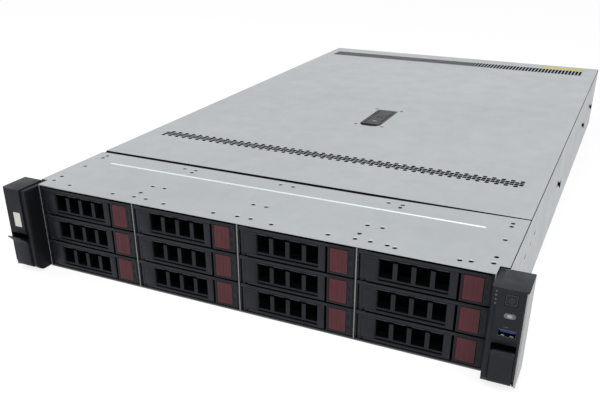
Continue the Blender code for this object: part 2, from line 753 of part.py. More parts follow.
def build_top_cover():
    """Sliding cover with its vents, the latch opening and two guides folded down inside."""
    half = BODY_WIDTH / 2 - TOP_INSET
    start = DECK_DEPTH + SEAM
    sheet = prism_mesh("Z", rectangle((-half, half), (start, BODY_DEPTH)), BODY_HEIGHT - SHEET, BODY_HEIGHT)
    edge = BODY_WIDTH / 2 - WALL_LIP - GUIDE_GAP
    guides = box_mesh(*[
        (side, (GUIDE_START, GUIDE_END),
         (BODY_HEIGHT - SHEET - GUIDE_HEIGHT, BODY_HEIGHT - SHEET / 2))
        for side in both_sides((edge - SHEET, edge))])
    opening = prism_mesh("Z", latch_opening(HANDLE_GAP), CAGE_TOP - SHEET, BODY_HEIGHT + OVERRUN)
    vents = box_mesh(*vent_boxes())
    steps = [("UNION", guides), ("DIFFERENCE", opening), ("DIFFERENCE", vents)]
    return add_piece("top_cover", sheet, STEEL, steps)


def build_latch_cup(cover):
    """Cup riveted under the cover, with a hollow for the handle and for a finger."""
    margin = HANDLE_GAP + CUP_WALL
    front = HANDLE_FRONT - SCOOP_NECK - SCOOP_BULGE - margin
    rear = HANDLE_FRONT + HANDLE_LENGTH + margin
    half = HANDLE_WIDTH / 2 + margin
    cup = prism_mesh("Z", rectangle((-half, half), (front, rear)), CAGE_TOP - CUP_DEPTH, CAGE_TOP)
    rim_spans = (around(0, CUP_RIM_WIDTH), grown((front, rear), CUP_RIM_MARGIN))
    rim = box_mesh((*rim_spans, (CAGE_TOP - CUP_RIM_THICK, CAGE_TOP)))
    hollow = prism_mesh("Z", latch_opening(HANDLE_GAP), CAGE_TOP - CUP_DEPTH + CUP_WALL, CAGE_TOP + OVERRUN)
    bearing = rod_mesh(
        "X", -half - SEAT, half + SEAT, [(0, HANDLE_AXIS_Y, HANDLE_AXIS_Z)], HANDLE_BEARING, PIN_SIDES)
    steps = [("UNION", rim), ("DIFFERENCE", hollow), ("DIFFERENCE", bearing)]
    add_piece("latch_cup", cup, BLACK, steps, carrier=cover)


def build_latch_handle(cover):
    """Pull-up handle of the cover latch, turning on the pins at its rear end."""
    length = HANDLE_LENGTH - HANDLE_BARREL
    under = HANDLE_BARREL - HANDLE_THICK
    profile = arc((0, 0), HANDLE_BARREL, 90, -90, 2 * ARC_STEPS)
    profile += [(-HANDLE_BARREL, under), (HANDLE_THICK / 2 - length, under), (-length, HANDLE_BARREL - SHEET)]
    profile.append((-length, HANDLE_BARREL))
    half = HANDLE_WIDTH / 2
    blade = prism_mesh("X", profile, -half, half)
    reach = half + HANDLE_GAP + CUP_WALL - SEAT
    pin = rod_mesh("X", -reach, reach, [(0, 0, 0)], HANDLE_PIN, PIN_SIDES)
    origin = (0, HANDLE_AXIS_Y, HANDLE_AXIS_Z)
    add_piece("latch_handle", blade, BLACK, [("UNION", pin)], origin, cover)


def window_spans(index):
    """X span of one window in a tray's lever."""
    start = LEVER_LEFT + WINDOW_START + index * WINDOW_PITCH
    return (start, start + WINDOW_WIDTH)


def carrier_mesh():
    """Tray with its disk: front frame, button pocket, hinge pin and side runners."""
    half = TRAY_WIDTH / 2
    back = PLATE_FRONT + PLATE_THICK
    plan = [(-half, PLATE_FRONT), (BLOCK_LEFT, PLATE_FRONT), (BLOCK_LEFT, 0), (half, 0), (half, back), (-half, back)]
    frame = prism_mesh("Z", plan, 0, TRAY_HEIGHT)
    rail = box_mesh(((-half, BLOCK_LEFT + JOIN), (0, PLATE_FRONT + JOIN), (TRAY_HEIGHT - TOP_RAIL, TRAY_HEIGHT)))
    pivot = LEVER_LEFT + PIVOT_RADIUS
    cheek_plan = arc((pivot, PIVOT_RADIUS), PIVOT_RADIUS, 180, 360, 2 * LEVER_ARC_STEPS)
    cheek_plan += [(pivot + PIVOT_RADIUS, PLATE_FRONT + JOIN), (pivot - PIVOT_RADIUS, PLATE_FRONT + JOIN)]
    cheek = prism_mesh("Z", cheek_plan, 0, HINGE_CHEEK)
    pin = rod_mesh(
        "Z", HINGE_CHEEK / 2, TRAY_HEIGHT - TOP_RAIL / 2, [(pivot, PIVOT_RADIUS, 0)], HINGE_PIN, HINGE_SIDES)
    disk = box_mesh((around(0, DISK_WIDTH), (DISK_START, DISK_END), (DISK_RISE, DISK_RISE + DISK_HEIGHT)))
    runners = box_mesh(*[
        (side, (back - JOIN, DISK_END - JOIN), (RUNNER_RISE, RUNNER_RISE + RUNNER_HEIGHT))
        for side in both_sides((DISK_WIDTH / 2 - JOIN, RUNNER_REACH))])
    air_gap = box_mesh((
        (window_spans(0)[0], window_spans(WINDOW_COUNT - 1)[1]), grown((PLATE_FRONT, back), OVERRUN),
        (WINDOW_SILL + WINDOW_DRAFT, LEVER_HEIGHT - WINDOW_LINTEL - WINDOW_DRAFT)))
    pocket = box_mesh((
        grown((TILE_LEFT, TILE_LEFT + TILE_WIDTH), SEAT), (-OVERRUN, TILE_THICK + TILE_TRAVEL + JOIN),
        grown((TILE_RISE, TILE_RISE + TILE_HEIGHT), SEAT)))
    return worked_mesh(frame, [
        ("UNION", rail), ("UNION", cheek), ("UNION", pin), ("UNION", disk), ("UNION", runners),
        ("DIFFERENCE", air_gap), ("DIFFERENCE", pocket)])


def lever_mesh():
    """Release lever with its four windows, measured from its hinge axis."""
    right = LEVER_LEFT + LEVER_WIDTH
    pivot = LEVER_LEFT + PIVOT_RADIUS
    plan = arc((pivot, PIVOT_RADIUS), PIVOT_RADIUS, 270, 90, LEVER_ARC_STEPS)
    plan += [(right, LEVER_THICK), (right, 0)]
    blade = prism_mesh("Z", plan, 0, LEVER_HEIGHT)
    sill, lintel = WINDOW_SILL, LEVER_HEIGHT - WINDOW_LINTEL
    profile = [
        (-OVERRUN, sill - WINDOW_DRAFT * OVERRUN / LEVER_THICK), (LEVER_THICK + OVERRUN, sill + WINDOW_DRAFT),
        (LEVER_THICK + OVERRUN, lintel - WINDOW_DRAFT), (-OVERRUN, lintel)]
    windows = [("DIFFERENCE", prism_mesh("X", profile, *window_spans(index))) for index in range(WINDOW_COUNT)]
    recess = box_mesh((
        (window_spans(0)[0], window_spans(WINDOW_COUNT - 1)[1]), (-OVERRUN, POST_SETBACK), (sill, lintel)))
    notch = box_mesh((
        (LEVER_LEFT - OVERRUN, LEVER_LEFT + LEVER_THICK + SEAT), (-OVERRUN, LEVER_THICK + OVERRUN),
        (-OVERRUN, HINGE_CHEEK + SEAT)))
    hole = rod_mesh("Z", 0, LEVER_HEIGHT + OVERRUN, [(pivot, PIVOT_RADIUS, 0)], HINGE_HOLE, HINGE_SIDES)
    mesh = worked_mesh(blade, windows + [("DIFFERENCE", recess), ("DIFFERENCE", notch), ("DIFFERENCE", hole)])
    mesh.transform(Matrix.Translation((-pivot, -PIVOT_RADIUS, 0)))
    return mesh


def tile_mesh():
    """Red release tile, its front edges eased."""
    tile = box_mesh((
        (TILE_LEFT, TILE_LEFT + TILE_WIDTH), (0, TILE_THICK), (TILE_RISE, TILE_RISE + TILE_HEIGHT)))
    return softened(tile, on_front(0), TILE_EDGE, 1)


def build_drives():
    """Twelve trays, numbered along each row from the upper left, with lever and button."""
    carrier, lever, tile = carrier_mesh(), lever_mesh(), tile_mesh()
    hinge = (LEVER_LEFT + PIVOT_RADIUS, PIVOT_RADIUS, 0)
    for number in range(BAY_COLUMNS * BAY_ROWS):
        row, column = divmod(number, BAY_COLUMNS)
        x = (column - (BAY_COLUMNS - 1) / 2) * BAY_PITCH
        z = FIRST_ROW + (BAY_ROWS - 1 - row) * ROW_PITCH
        name = f"drive_{number + 1:02d}"
        tray = add_piece(f"{name}_carrier", carrier, BLACK, origin=(x, 0, z))
        add_piece(f"{name}_lever", lever, GRILLE, origin=hinge, carrier=tray)
        add_piece(f"{name}_button", tile, RED, carrier=tray)


def bay_boxes(width, height, rise, depth_span):
    """One box behind every bay, centred on its column."""
    return [
        (around((column - (BAY_COLUMNS - 1) / 2) * BAY_PITCH, width), depth_span,
         (FIRST_ROW + row * ROW_PITCH + rise, FIRST_ROW + row * ROW_PITCH + rise + height))
        for column in range(BAY_COLUMNS) for row in range(BAY_ROWS)]


def build_backplane():
    """Board that closes the cage, with a socket and an air hole behind every tray."""
    thick = (BACKPLANE_FRONT, BACKPLANE_FRONT + BOARD)
    board = box_mesh((around(0, CAGE_WIDTH), thick, (CAGE_FLOOR, CAGE_TOP)))
    sockets = box_mesh(*bay_boxes(SOCKET_WIDTH, SOCKET_HEIGHT, SOCKET_RISE, (DISK_END + SEAT, thick[0] + JOIN)))
    holes = box_mesh(*bay_boxes(AIR_HOLE_WIDTH, AIR_HOLE_HEIGHT, AIR_HOLE_RISE, grown(thick, OVERRUN)))
    add_piece("backplane", board, BOARD_GREEN, [("UNION", sockets), ("DIFFERENCE", holes)])


def ear_plate(outer):
    """Plan of the right ear's front plate from the step out to a given X."""
    corner = (outer - EAR_EDGE, EAR_EDGE - EAR_REACH)
    return [(EAR_INNER + EAR_BAND, -EAR_REACH)] + arc(corner, EAR_EDGE, 270, 360, ARC_STEPS) + [(outer, EAR_BACK)]


def ear_plan(outer):
    """Plan of the right ear out to a given X: a rounded band, set back beside the front plate."""
    front = EAR_STEP - EAR_REACH
    points = arc((EAR_INNER + EAR_ROUND, front + EAR_ROUND), EAR_ROUND, 180, 270, ARC_STEPS)
    return points + [(EAR_INNER + EAR_BAND, front)] + ear_plate(outer) + [(EAR_INNER, EAR_BACK)]


def ear_parts(side):
    """Blank of one ear and the tools that both ears share."""
    sided = list if side > 0 else mirrored
    cap_low = BODY_HEIGHT - EAR_CAP
    plate = ear_plate(FLANGE_SPAN / 2) + [(EAR_INNER + EAR_BAND, EAR_BACK)]
    cap = softened(prism_mesh("Z", sided(plate), cap_low, BODY_HEIGHT), on_top(BODY_HEIGHT), EAR_EDGE, 2)
    column = prism_mesh("Z", sided(ear_plan(EAR_OUTER)), SHEET, BODY_HEIGHT - EAR_TOP_STEP)
    heel = (EAR_STEP + EAR_FOOT - EAR_REACH, SHEET + EAR_FOOT)
    foot = [(heel[0], -OVERRUN), (-EAR_REACH - OVERRUN, -OVERRUN), (-EAR_REACH - OVERRUN, heel[1])]
    foot += arc(heel, EAR_FOOT, 180, 270, 2 * ARC_STEPS)
    foot_x = sorted((side * (EAR_INNER - OVERRUN), side * (EAR_OUTER + SEAT)))
    niche_x = sorted((side * NICHE_LOW, side * NICHE_HIGH))
    niche = box_mesh((niche_x, (-EAR_REACH - OVERRUN, NICHE_BACK), (-OVERRUN, LATCH_TOP + FINGER_HEIGHT)))
    bearing_x = sorted((side * (NICHE_LOW - LATCH_PIN_REACH), side * (EAR_OUTER + SEAT)))
    bearing = rod_mesh("X", *bearing_x, [(0, LATCH_PIVOT_Y, LATCH_PIVOT_Z)], LATCH_BEARING, PIN_SIDES)
    return cap, [
        ("UNION", column), ("DIFFERENCE", niche), ("DIFFERENCE", bearing),
        ("DIFFERENCE", prism_mesh("X", foot, *foot_x))]


def pill_outline(width, height):
    """Rectangle with fully round ends, about the origin."""
    radius = height / 2
    reach = width / 2 - radius
    right = arc((reach, 0), radius, -90, 90, 2 * ARC_STEPS)
    return right + arc((-reach, 0), radius, 90, 270, 2 * ARC_STEPS)


def shifted(outline, x, z):
    """The outline moved in its own plane."""
    return [(first + x, second + z) for first, second in outline]


def build_ears():
    """Moulded ears, the right one with pockets for the controls."""
    cap, steps = ear_parts(-1)
    add_piece("ear_left", cap, EAR, steps)
    cap, steps = ear_parts(1)
    front = -EAR_REACH - OVERRUN
    power_depth = POWER_THICK + POWER_TRAVEL + JOIN - EAR_REACH
    power = box_mesh((
        grown(around(POWER_X, POWER_SIZE), SEAT), (front, power_depth), grown(around(POWER_Z, POWER_SIZE), SEAT)))
    pill = shifted(pill_outline(UID_WIDTH + 2 * SEAT, UID_HEIGHT + 2 * SEAT), UID_X, UID_Z)
    uid = prism_mesh("Y", pill, front, UID_THICK + UID_TRAVEL + JOIN - EAR_REACH)
    usb = box_mesh((
        grown(around(USB_X, USB_WIDTH), SEAT), (front, USB_DEPTH + SEAT - EAR_REACH),
        grown(around(USB_Z, USB_HEIGHT), SEAT)))
    add_piece("ear_right", cap, EAR, steps + [("DIFFERENCE", power), ("DIFFERENCE", uid), ("DIFFERENCE", usb)])


def latch_mesh():
    """Ear latch: a block with a round foot on its pin and a lip to pull at its top."""
    half = (NICHE_HIGH - NICHE_LOW) / 2 - SEAT
    top = LATCH_TOP - LATCH_PIVOT_Z
    profile = arc((0, 0), LATCH_ARC, 180, 360, 2 * ARC_STEPS) + [(LATCH_ARC, top), (-LATCH_ARC, top)]
    block = prism_mesh("X", profile, -half, half)
    root = -LATCH_ARC - SEAT
    lip_top, tip = top - LIP_THICK, -LATCH_ARC - LIP_REACH
    lip_profile = [
        (JOIN - LATCH_ARC, top), (root, top), (tip, lip_top), (tip, lip_top - LIP_THICK / 2),
        (root, lip_top - LIP_DROP), (JOIN - LATCH_ARC, lip_top - LIP_DROP)]
    wide_profile = [(root, top), (tip, lip_top), (tip, lip_top - LIP_THICK / 2), (root, top - 2 * LIP_THICK)]
    lip = prism_mesh("X", lip_profile, -half, half)
    wide_lip = prism_mesh("X", wide_profile, -half - LIP_OVERHANG, half + LIP_OVERHANG)
    reach = half + LATCH_PIN_REACH
    pin = rod_mesh("X", -reach, reach, [(0, 0, 0)], LATCH_PIN, PIN_SIDES)
    return worked_mesh(block, [("UNION", lip), ("UNION", wide_lip), ("UNION", pin)])


def build_ear_latches():
    """Both ear latches, hung on pins low in the ears."""
    mesh = latch_mesh()
    middle = (NICHE_LOW + NICHE_HIGH) / 2
    for name, x in (("ear_latch_left", -middle), ("ear_latch_right", middle)):
        add_piece(name, mesh, BLACK, origin=(x, LATCH_PIVOT_Y, LATCH_PIVOT_Z))


def build_controls():
    """Power button, locating button and serial port of the right ear."""
    face = (-EAR_REACH, POWER_THICK - EAR_REACH)
    power = softened(
        box_mesh((around(POWER_X, POWER_SIZE), face, around(POWER_Z, POWER_SIZE))),
        on_front(-EAR_REACH), TILE_EDGE, 1)
    add_piece("power_button", power, BLACK)
    pill = shifted(pill_outline(UID_WIDTH, UID_HEIGHT), UID_X, UID_Z)
    add_piece("uid_button", prism_mesh("Y", pill, -EAR_REACH, UID_THICK - EAR_REACH), PALE)
    case = (around(USB_X, USB_WIDTH), (-EAR_REACH, USB_DEPTH - EAR_REACH), around(USB_Z, USB_HEIGHT))
    inner_top = USB_Z + USB_HEIGHT / 2 - USB_SHELL
    hollow = (
        grown(case[0], -USB_SHELL), (-EAR_REACH - OVERRUN, USB_DEPTH - USB_BACK - EAR_REACH),
        (USB_Z - USB_HEIGHT / 2 + USB_SHELL, inner_top))
    tongue_top = inner_top - USB_TONGUE_DROP
    tongue = (
        grown(case[0], -2 * USB_SHELL), (USB_BACK - EAR_REACH, USB_DEPTH - USB_BACK + JOIN - EAR_REACH),
        (tongue_top - USB_TONGUE, tongue_top))
    add_piece("usb_port", box_mesh(case), PORT, [("DIFFERENCE", box_mesh(hollow)), ("UNION", box_mesh(tongue))])


def fan_places():
    """X of each fan's axis, from left to right."""
    return [(index - (FAN_COUNT - 1) / 2) * FAN_PITCH for index in range(FAN_COUNT)]


def build_fan_wall():
    """Wall of four fan frames, each with a bore, a stator on three arms and a spindle."""
    wall = box_mesh((around(0, FAN_COUNT * FAN_PITCH), (FAN_FRONT, FAN_BACK), (CAGE_FLOOR, CAGE_FLOOR + FAN_HEIGHT)))
    axes = [(x, 0, FAN_AXIS_Z) for x in fan_places()]
    bores = rod_mesh("Y", FAN_FRONT - OVERRUN, FAN_BACK + OVERRUN, axes, FAN_BORE, FAN_BORE_SIDES)
    steps = [("DIFFERENCE", bores)]
    stator_front = FAN_BACK - STATOR_THICK
    star = star_outline(STATOR_ARMS, STATOR_HUB, FAN_BORE + JOIN, STATOR_ARM)
    for x in fan_places():
        steps.append(("UNION", prism_mesh("Y", shifted(star, x, FAN_AXIS_Z), stator_front, FAN_BACK)))
    spindles = rod_mesh("Y", stator_front - SPINDLE_LENGTH, stator_front + JOIN, axes, SPINDLE, PIN_SIDES)
    add_piece("fan_wall", wall, BLACK, steps + [("UNION", spindles)])


def blade_mesh():
    """One twisted fan blade, standing up along +Z from inside the hub."""
    root = ROTOR_HUB * BLADE_ROOT_SHARE
    shape = bmesh.new()
    bmesh.ops.create_grid(shape, x_segments=1, y_segments=BLADE_STEPS, size=1.0)
    for vert in shape.verts:
        share = (vert.co.y + 1) / 2
        pitch = BLADE_ROOT_PITCH + (BLADE_TIP_PITCH - BLADE_ROOT_PITCH) * share
        chord = vert.co.x * BLADE_CHORD / 2
        across, along = chord * math.cos(pitch), chord * math.sin(pitch)
        radius = root + (ROTOR_TIP - root) * share
        vert.co = (across, along, math.sqrt(radius ** 2 - across ** 2))
    sheet = bpy.data.meshes.new("blade")
    shape.to_mesh(sheet)
    shape.free()
    blade = bpy.data.objects.new("blade", sheet)
    bpy.context.scene.collection.objects.link(blade)
    shell = blade.modifiers.new("thickness", "SOLIDIFY")
    shell.thickness = BLADE_THICK
    shell.offset = 0
    graph = bpy.context.evaluated_depsgraph_get()
    mesh = bpy.data.meshes.new_from_object(blade.evaluated_get(graph))
    bpy.data.objects.remove(blade, do_unlink=True)
    return mesh


def rotor_mesh():
    """Fan rotor about its own axis: hub with a spindle hole and twisted blades."""
    half = ROTOR_LENGTH / 2
    hub = rod_mesh("Y", -half, half, [(0, 0, 0)], ROTOR_HUB, ROTOR_SIDES)
    steps = []
    for index in range(BLADE_COUNT):
        blade = blade_mesh()
        blade.transform(Matrix.Rotation(2 * math.pi * index / BLADE_COUNT, 4, "Y"))
        steps.append(("UNION", blade))
    hole_start = half - SPINDLE_LENGTH - SEAT
    hole = rod_mesh("Y", hole_start, half + OVERRUN, [(0, 0, 0)], SPINDLE_HOLE, PIN_SIDES)
    return worked_mesh(hub, steps + [("DIFFERENCE", hole)])


def build_rotors():
    """Four rotors, each on its spindle just in front of the stator."""
    mesh = rotor_mesh()
    middle = FAN_BACK - STATOR_THICK - ROTOR_GAP - ROTOR_LENGTH / 2
    for index, x in enumerate(fan_places()):
        add_piece(f"fan_rotor_{index + 1}", mesh, BLACK, origin=(x, middle, FAN_AXIS_Z))


def sink_outline(x):
    """Section of a heat sink: a base with upright fins."""
    left, right = around(x, SINK_WIDTH)
    base, top = BOARD_TOP + SINK_BASE, SINK_TOP
    points = [(left, BOARD_TOP - JOIN), (right, BOARD_TOP - JOIN)]
    step = (SINK_WIDTH - FIN_THICK) / (FIN_COUNT - 1)
    for index in reversed(range(FIN_COUNT)):
        low = left + index * step
        points += [(low + FIN_THICK, base), (low + FIN_THICK, top), (low, top), (low, base)]
    return [points[0], points[1]] + points[3:-1]


def memory_boxes():
    """Memory modules standing in two banks beside the heat sinks."""
    boxes = []
    for side in (-1, 1):
        for index in range(MEMORY_COUNT):
            x = side * (MEMORY_X + index * MEMORY_STEP)
            boxes.append((
                around(x, MEMORY_THICK), (SINK_START, SINK_START + MEMORY_LENGTH),
                (BOARD_TOP - JOIN, BOARD_TOP + MEMORY_HEIGHT)))
    return boxes


def port_spans(x, width, height):
    """Box of a connector on the board's rear edge, flush with the rear wall."""
    return (around(x, width), (BODY_DEPTH - PORT_LENGTH, BODY_DEPTH), (BOARD_TOP - JOIN, BOARD_TOP + height))


def board_ports():
    """Boxes of all rear connectors: the network sockets first, the serial one last."""
    ports = [port_spans(x, NET_PORT_WIDTH, NET_PORT_HEIGHT) for x in NET_PORT_X]
    return ports + [port_spans(SERIAL_PORT_X, SERIAL_PORT_WIDTH, SERIAL_PORT_HEIGHT)]


def build_motherboard():
    """Main board on standoffs with heat sinks, memory and the rear connectors."""
    right, narrow = BOARD_HALF_WIDTH, PARTITION_X - BOARD_SIDE_GAP
    end = BODY_DEPTH - SHEET - BOARD_END_GAP
    plan = [(-right, BOARD_START), (right, BOARD_START), (right, BOARD_STEP), (narrow, BOARD_STEP)]
    board = prism_mesh("Z", plan + [(narrow, end), (-right, end)], BOARD_UNDER, BOARD_TOP)
    inner = BOARD_HALF_WIDTH - STANDOFF_MARGIN
    places = [(x, y, 0) for x in (-inner, inner) for y in (BOARD_START + STANDOFF_MARGIN, BOARD_STEP - STANDOFF_MARGIN)]
    places += [(x, end - STANDOFF_MARGIN - PORT_LENGTH, 0) for x in (-inner, narrow - STANDOFF_MARGIN)]
    standoffs = rod_mesh("Z", CAGE_FLOOR, BOARD_UNDER + JOIN, places, STANDOFF_RADIUS, PIN_SIDES)
    steps = [("UNION", standoffs)]
    for x in (-SINK_X, SINK_X):
        steps.append(("UNION", prism_mesh("Y", sink_outline(x), SINK_START, SINK_START + SINK_LENGTH)))
    steps += [("UNION", box_mesh(*memory_boxes())), ("UNION", box_mesh(*board_ports()))]
    sockets = box_mesh(*[
        (grown(spans[0], -NET_PORT_WALL), (BODY_DEPTH - NET_PORT_DEPTH, BODY_DEPTH + OVERRUN),
         (BOARD_TOP + NET_PORT_WALL, spans[2][1] - NET_PORT_WALL))
        for spans in board_ports()[:-1]])
    add_piece("motherboard", board, BOARD_GREEN, steps + [("DIFFERENCE", sockets)])


def build_air_baffle():
    """Moulded hood that leads the fans' air through the heat sinks."""
    outer, top = BAFFLE_HALF_WIDTH, BAFFLE_TOP
    inner = outer - BAFFLE_THICK
    right = [(outer, BOARD_TOP + SEAT), (outer, top)]
    inside = [(inner, top - BAFFLE_THICK), (inner, BOARD_TOP + SEAT)]
    section = right + mirrored(reversed(right)) + mirrored(reversed(inside)) + inside
    add_piece("air_baffle", prism_mesh("Y", section, BOARD_START, BAFFLE_END), BLACK)


def psu_low(index):
    """Height of a power supply's underside."""
    return CAGE_FLOOR + index * PSU_PITCH


def build_rear_panel():
    """Rear wall with its cut-outs, card vents, top flange and the power supply bay."""
    half = BODY_WIDTH / 2
    thick = (BODY_DEPTH - SHEET, BODY_DEPTH)
    wall = box_mesh((around(0, BODY_WIDTH), thick, (0, CAGE_TOP)))
    flange_half = half - WALL_LIP - GUIDE_GAP
    shelf_start = BODY_DEPTH - SHELF_LENGTH
    joined = thick[0] + SHEET / 2
    flange = box_mesh(((-flange_half, flange_half), (BODY_DEPTH - REAR_FLANGE, joined), (CAGE_TOP - SHEET, CAGE_TOP)))
    partition = box_mesh((
        (PARTITION_X, PARTITION_X + SHEET), (shelf_start, joined), (CAGE_FLOOR, CAGE_TOP - SHEET + JOIN)))
    shelf_low = psu_low(1) - SEAT - SHEET
    shelf = box_mesh((
        (PARTITION_X + JOIN, half - SHEET - SEAT), (shelf_start, joined), (shelf_low, shelf_low + SHEET)))
    bays = box_mesh(*[
        (grown(around(PSU_X, PSU_WIDTH), SEAT), grown(thick, OVERRUN - SHEET),
         grown((psu_low(index), psu_low(index) + PSU_HEIGHT), SEAT / 2))
        for index in range(PSU_COUNT)])
    ports = box_mesh(*[
        (grown(spans[0], PORT_CLEARANCE), grown(thick, OVERRUN), grown(spans[2], PORT_CLEARANCE))
        for spans in board_ports()])
    vents = box_mesh(*[
        (around(group + (column - (CARD_VENT_COLUMNS - 1) / 2) * CARD_VENT_STEP, CARD_VENT_WIDTH),
         grown(thick, OVERRUN), (CARD_VENT_LOW + row * CARD_VENT_RISE,
                                 CARD_VENT_LOW + row * CARD_VENT_RISE + CARD_VENT_HEIGHT))
        for group in CARD_GROUP_X for column in range(CARD_VENT_COLUMNS) for row in range(CARD_VENT_ROWS)])
    steps = [("UNION", flange), ("UNION", partition), ("UNION", shelf)]
    add_piece("rear_panel", wall, STEEL, steps + [("DIFFERENCE", bays), ("DIFFERENCE", ports), ("DIFFERENCE", vents)])


def pull_handle():
    """Bent bar on a power supply's rear face, measured from the face's middle."""
    reach = PSU_HANDLE_REACH - HANDLE_BAR
    half, bend = PSU_HANDLE_SPREAD / 2, PSU_HANDLE_BEND
    upper = arc((reach - bend, half - bend), bend, 90, 0, HUB_ARC_STEPS)
    lower = arc((reach - bend, bend - half), bend, 0, -90, HUB_ARC_STEPS)
    path = [(-HANDLE_BAR, half)] + upper + lower + [(-HANDLE_BAR, -half)]
    curve = poly_curve([(PSU_HANDLE_X, y, z) for y, z in path], False)
    curve.dimensions = "3D"
    curve.bevel_depth = HANDLE_BAR
    curve.bevel_resolution = 2
    curve.use_fill_caps = True
    return curve_mesh(curve, Matrix.Identity(4))


def psu_mesh():
    """Power supply from the middle of its rear face: case, inlet, fan guard and handle."""
    case = box_mesh((around(0, PSU_WIDTH), (-PSU_LENGTH, 0), around(0, PSU_HEIGHT)))
    inlet = box_mesh((around(INLET_X, INLET_WIDTH), (-INLET_DEPTH, OVERRUN), around(0, INLET_HEIGHT)))
    pins = box_mesh(*[
        (around(INLET_X + place * INLET_PIN_SPREAD, INLET_PIN_WIDTH),
         (-INLET_DEPTH - JOIN, INLET_PIN_LENGTH - INLET_DEPTH),
         around(INLET_PIN_RISE * (1 - 2 * abs(place)), INLET_PIN_HEIGHT))
        for place in (-1, 0, 1)])
    guard = rod_mesh("Y", -GUARD_DEPTH, OVERRUN, [(GUARD_X, 0, 0)], GUARD_RADIUS, GUARD_SIDES)
    star = shifted(star_outline(GUARD_ARMS, GUARD_HUB, GUARD_RADIUS + JOIN, GUARD_ARM), GUARD_X, 0)
    bars = prism_mesh("Y", star, -GUARD_DEPTH - JOIN, -SHEET / 2)
    return worked_mesh(case, [
        ("DIFFERENCE", inlet), ("UNION", pins), ("DIFFERENCE", guard), ("UNION", bars), ("UNION", pull_handle())])


def build_power_supplies():
    """Two power supplies, one above the other at the rear right."""
    mesh = psu_mesh()
    for index in range(PSU_COUNT):
        origin = (PSU_X, BODY_DEPTH, psu_low(index) + PSU_HEIGHT / 2)
        add_piece(f"psu_{index + 1}", mesh, SUPPLY, origin=origin)


clear_scene()
SERVER = new_collection("storage_server")
TOOLS = new_collection("tools")
FRAME = bpy.data.objects.new("server_frame", None)
FRAME.location = (0, FRONT_Y, 0)
SERVER.objects.link(FRAME)

build_chassis_base()
build_drive_cage()
build_front_deck()
COVER = build_top_cover()
build_latch_cup(COVER)
build_latch_handle(COVER)
build_drives()
build_backplane()
build_ears()
build_ear_latches()
build_controls()
build_fan_wall()
build_rotors()
build_motherboard()
build_air_baffle()
build_rear_panel()
build_power_supplies()
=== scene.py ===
"""Storage server in a plain studio.

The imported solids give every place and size. This file dresses them: it models the
finer pieces over them, gives each surface its finish, and sets floor, light and camera.
Y is measured here from the plane of the tray fronts, as the pieces were designed.
"""

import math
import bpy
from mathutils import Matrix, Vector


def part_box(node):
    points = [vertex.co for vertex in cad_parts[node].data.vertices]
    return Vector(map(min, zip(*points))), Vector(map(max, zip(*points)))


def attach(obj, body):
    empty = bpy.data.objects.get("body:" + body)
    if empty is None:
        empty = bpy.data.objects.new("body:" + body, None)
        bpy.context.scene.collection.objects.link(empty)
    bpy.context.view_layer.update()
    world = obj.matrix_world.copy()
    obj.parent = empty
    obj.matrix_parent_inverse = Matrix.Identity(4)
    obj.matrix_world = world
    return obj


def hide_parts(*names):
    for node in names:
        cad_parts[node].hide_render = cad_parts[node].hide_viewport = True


bl_info = {
    "name": "Storage Server",
    "version": (1, 0, 0),
    "blender": (4, 5, 0),
    "location": "View3D > Sidebar > Server",
    "description": "Models the fine pieces and finishes of a rack storage server and its studio",
    "category": "Object",
}

import bmesh
import bpy
from bpy.props import FloatProperty, FloatVectorProperty, PointerProperty
from mathutils import Matrix, Vector

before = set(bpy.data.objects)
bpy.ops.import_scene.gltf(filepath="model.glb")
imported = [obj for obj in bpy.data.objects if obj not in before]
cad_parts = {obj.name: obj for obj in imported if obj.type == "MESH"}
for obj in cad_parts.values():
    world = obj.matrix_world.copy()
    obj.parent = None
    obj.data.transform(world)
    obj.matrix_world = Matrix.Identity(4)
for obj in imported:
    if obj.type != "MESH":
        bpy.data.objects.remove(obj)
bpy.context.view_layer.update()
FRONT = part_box("front_deck")[0].y
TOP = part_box("top_cover")[1].z
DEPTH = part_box("top_cover")[1].y - FRONT
COVER_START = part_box("top_cover")[0].y - FRONT
DECK_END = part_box("front_deck")[1].y - FRONT
HALF_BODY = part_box("front_deck")[1].x
HALF_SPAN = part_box("drive_cage")[1].x
SHEET = 0.001
SEAT = 0.0003
OVER = 0.002
PITCH_X = 0.1072
PITCH_Z = 0.0272
FIRST_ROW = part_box("drive_09_carrier")[0].z


# ---------------------------------------------------------------- what a user may change


class ServerColours(bpy.types.PropertyGroup):
    """Colours of the server's finishes."""

    steel: FloatVectorProperty(
        name="Steel", description="Galvanised sheet of the body", subtype="COLOR", size=3, min=0, max=1,
        default=(0.468, 0.496, 0.512))
    plastic: FloatVectorProperty(
        name="Plastic", description="Dark plastic of trays and latches", subtype="COLOR", size=3, min=0, max=1,
        default=(0.009, 0.0105, 0.0138))
    ear: FloatVectorProperty(
        name="Ear", description="Dark plastic of the two ears", subtype="COLOR", size=3, min=0, max=1,
        default=(0.01, 0.0115, 0.015))
    tile: FloatVectorProperty(
        name="Release tile", description="Red plastic of the release tiles", subtype="COLOR", size=3, min=0, max=1,
        default=(0.076, 0.019, 0.025))
    board: FloatVectorProperty(
        name="Board", description="Solder mask of the circuit boards", subtype="COLOR", size=3, min=0, max=1,
        default=(0.02, 0.11, 0.055))
    plate: FloatVectorProperty(
        name="Blank plate", description="Pale plate on the left ear", subtype="COLOR", size=3, min=0, max=1,
        default=(0.62, 0.6, 0.57))
    tongue: FloatVectorProperty(
        name="Port tongue", description="Blue tongue of the serial port in the ear", subtype="COLOR", size=3,
        min=0, max=1, default=(0.02, 0.05, 0.23))


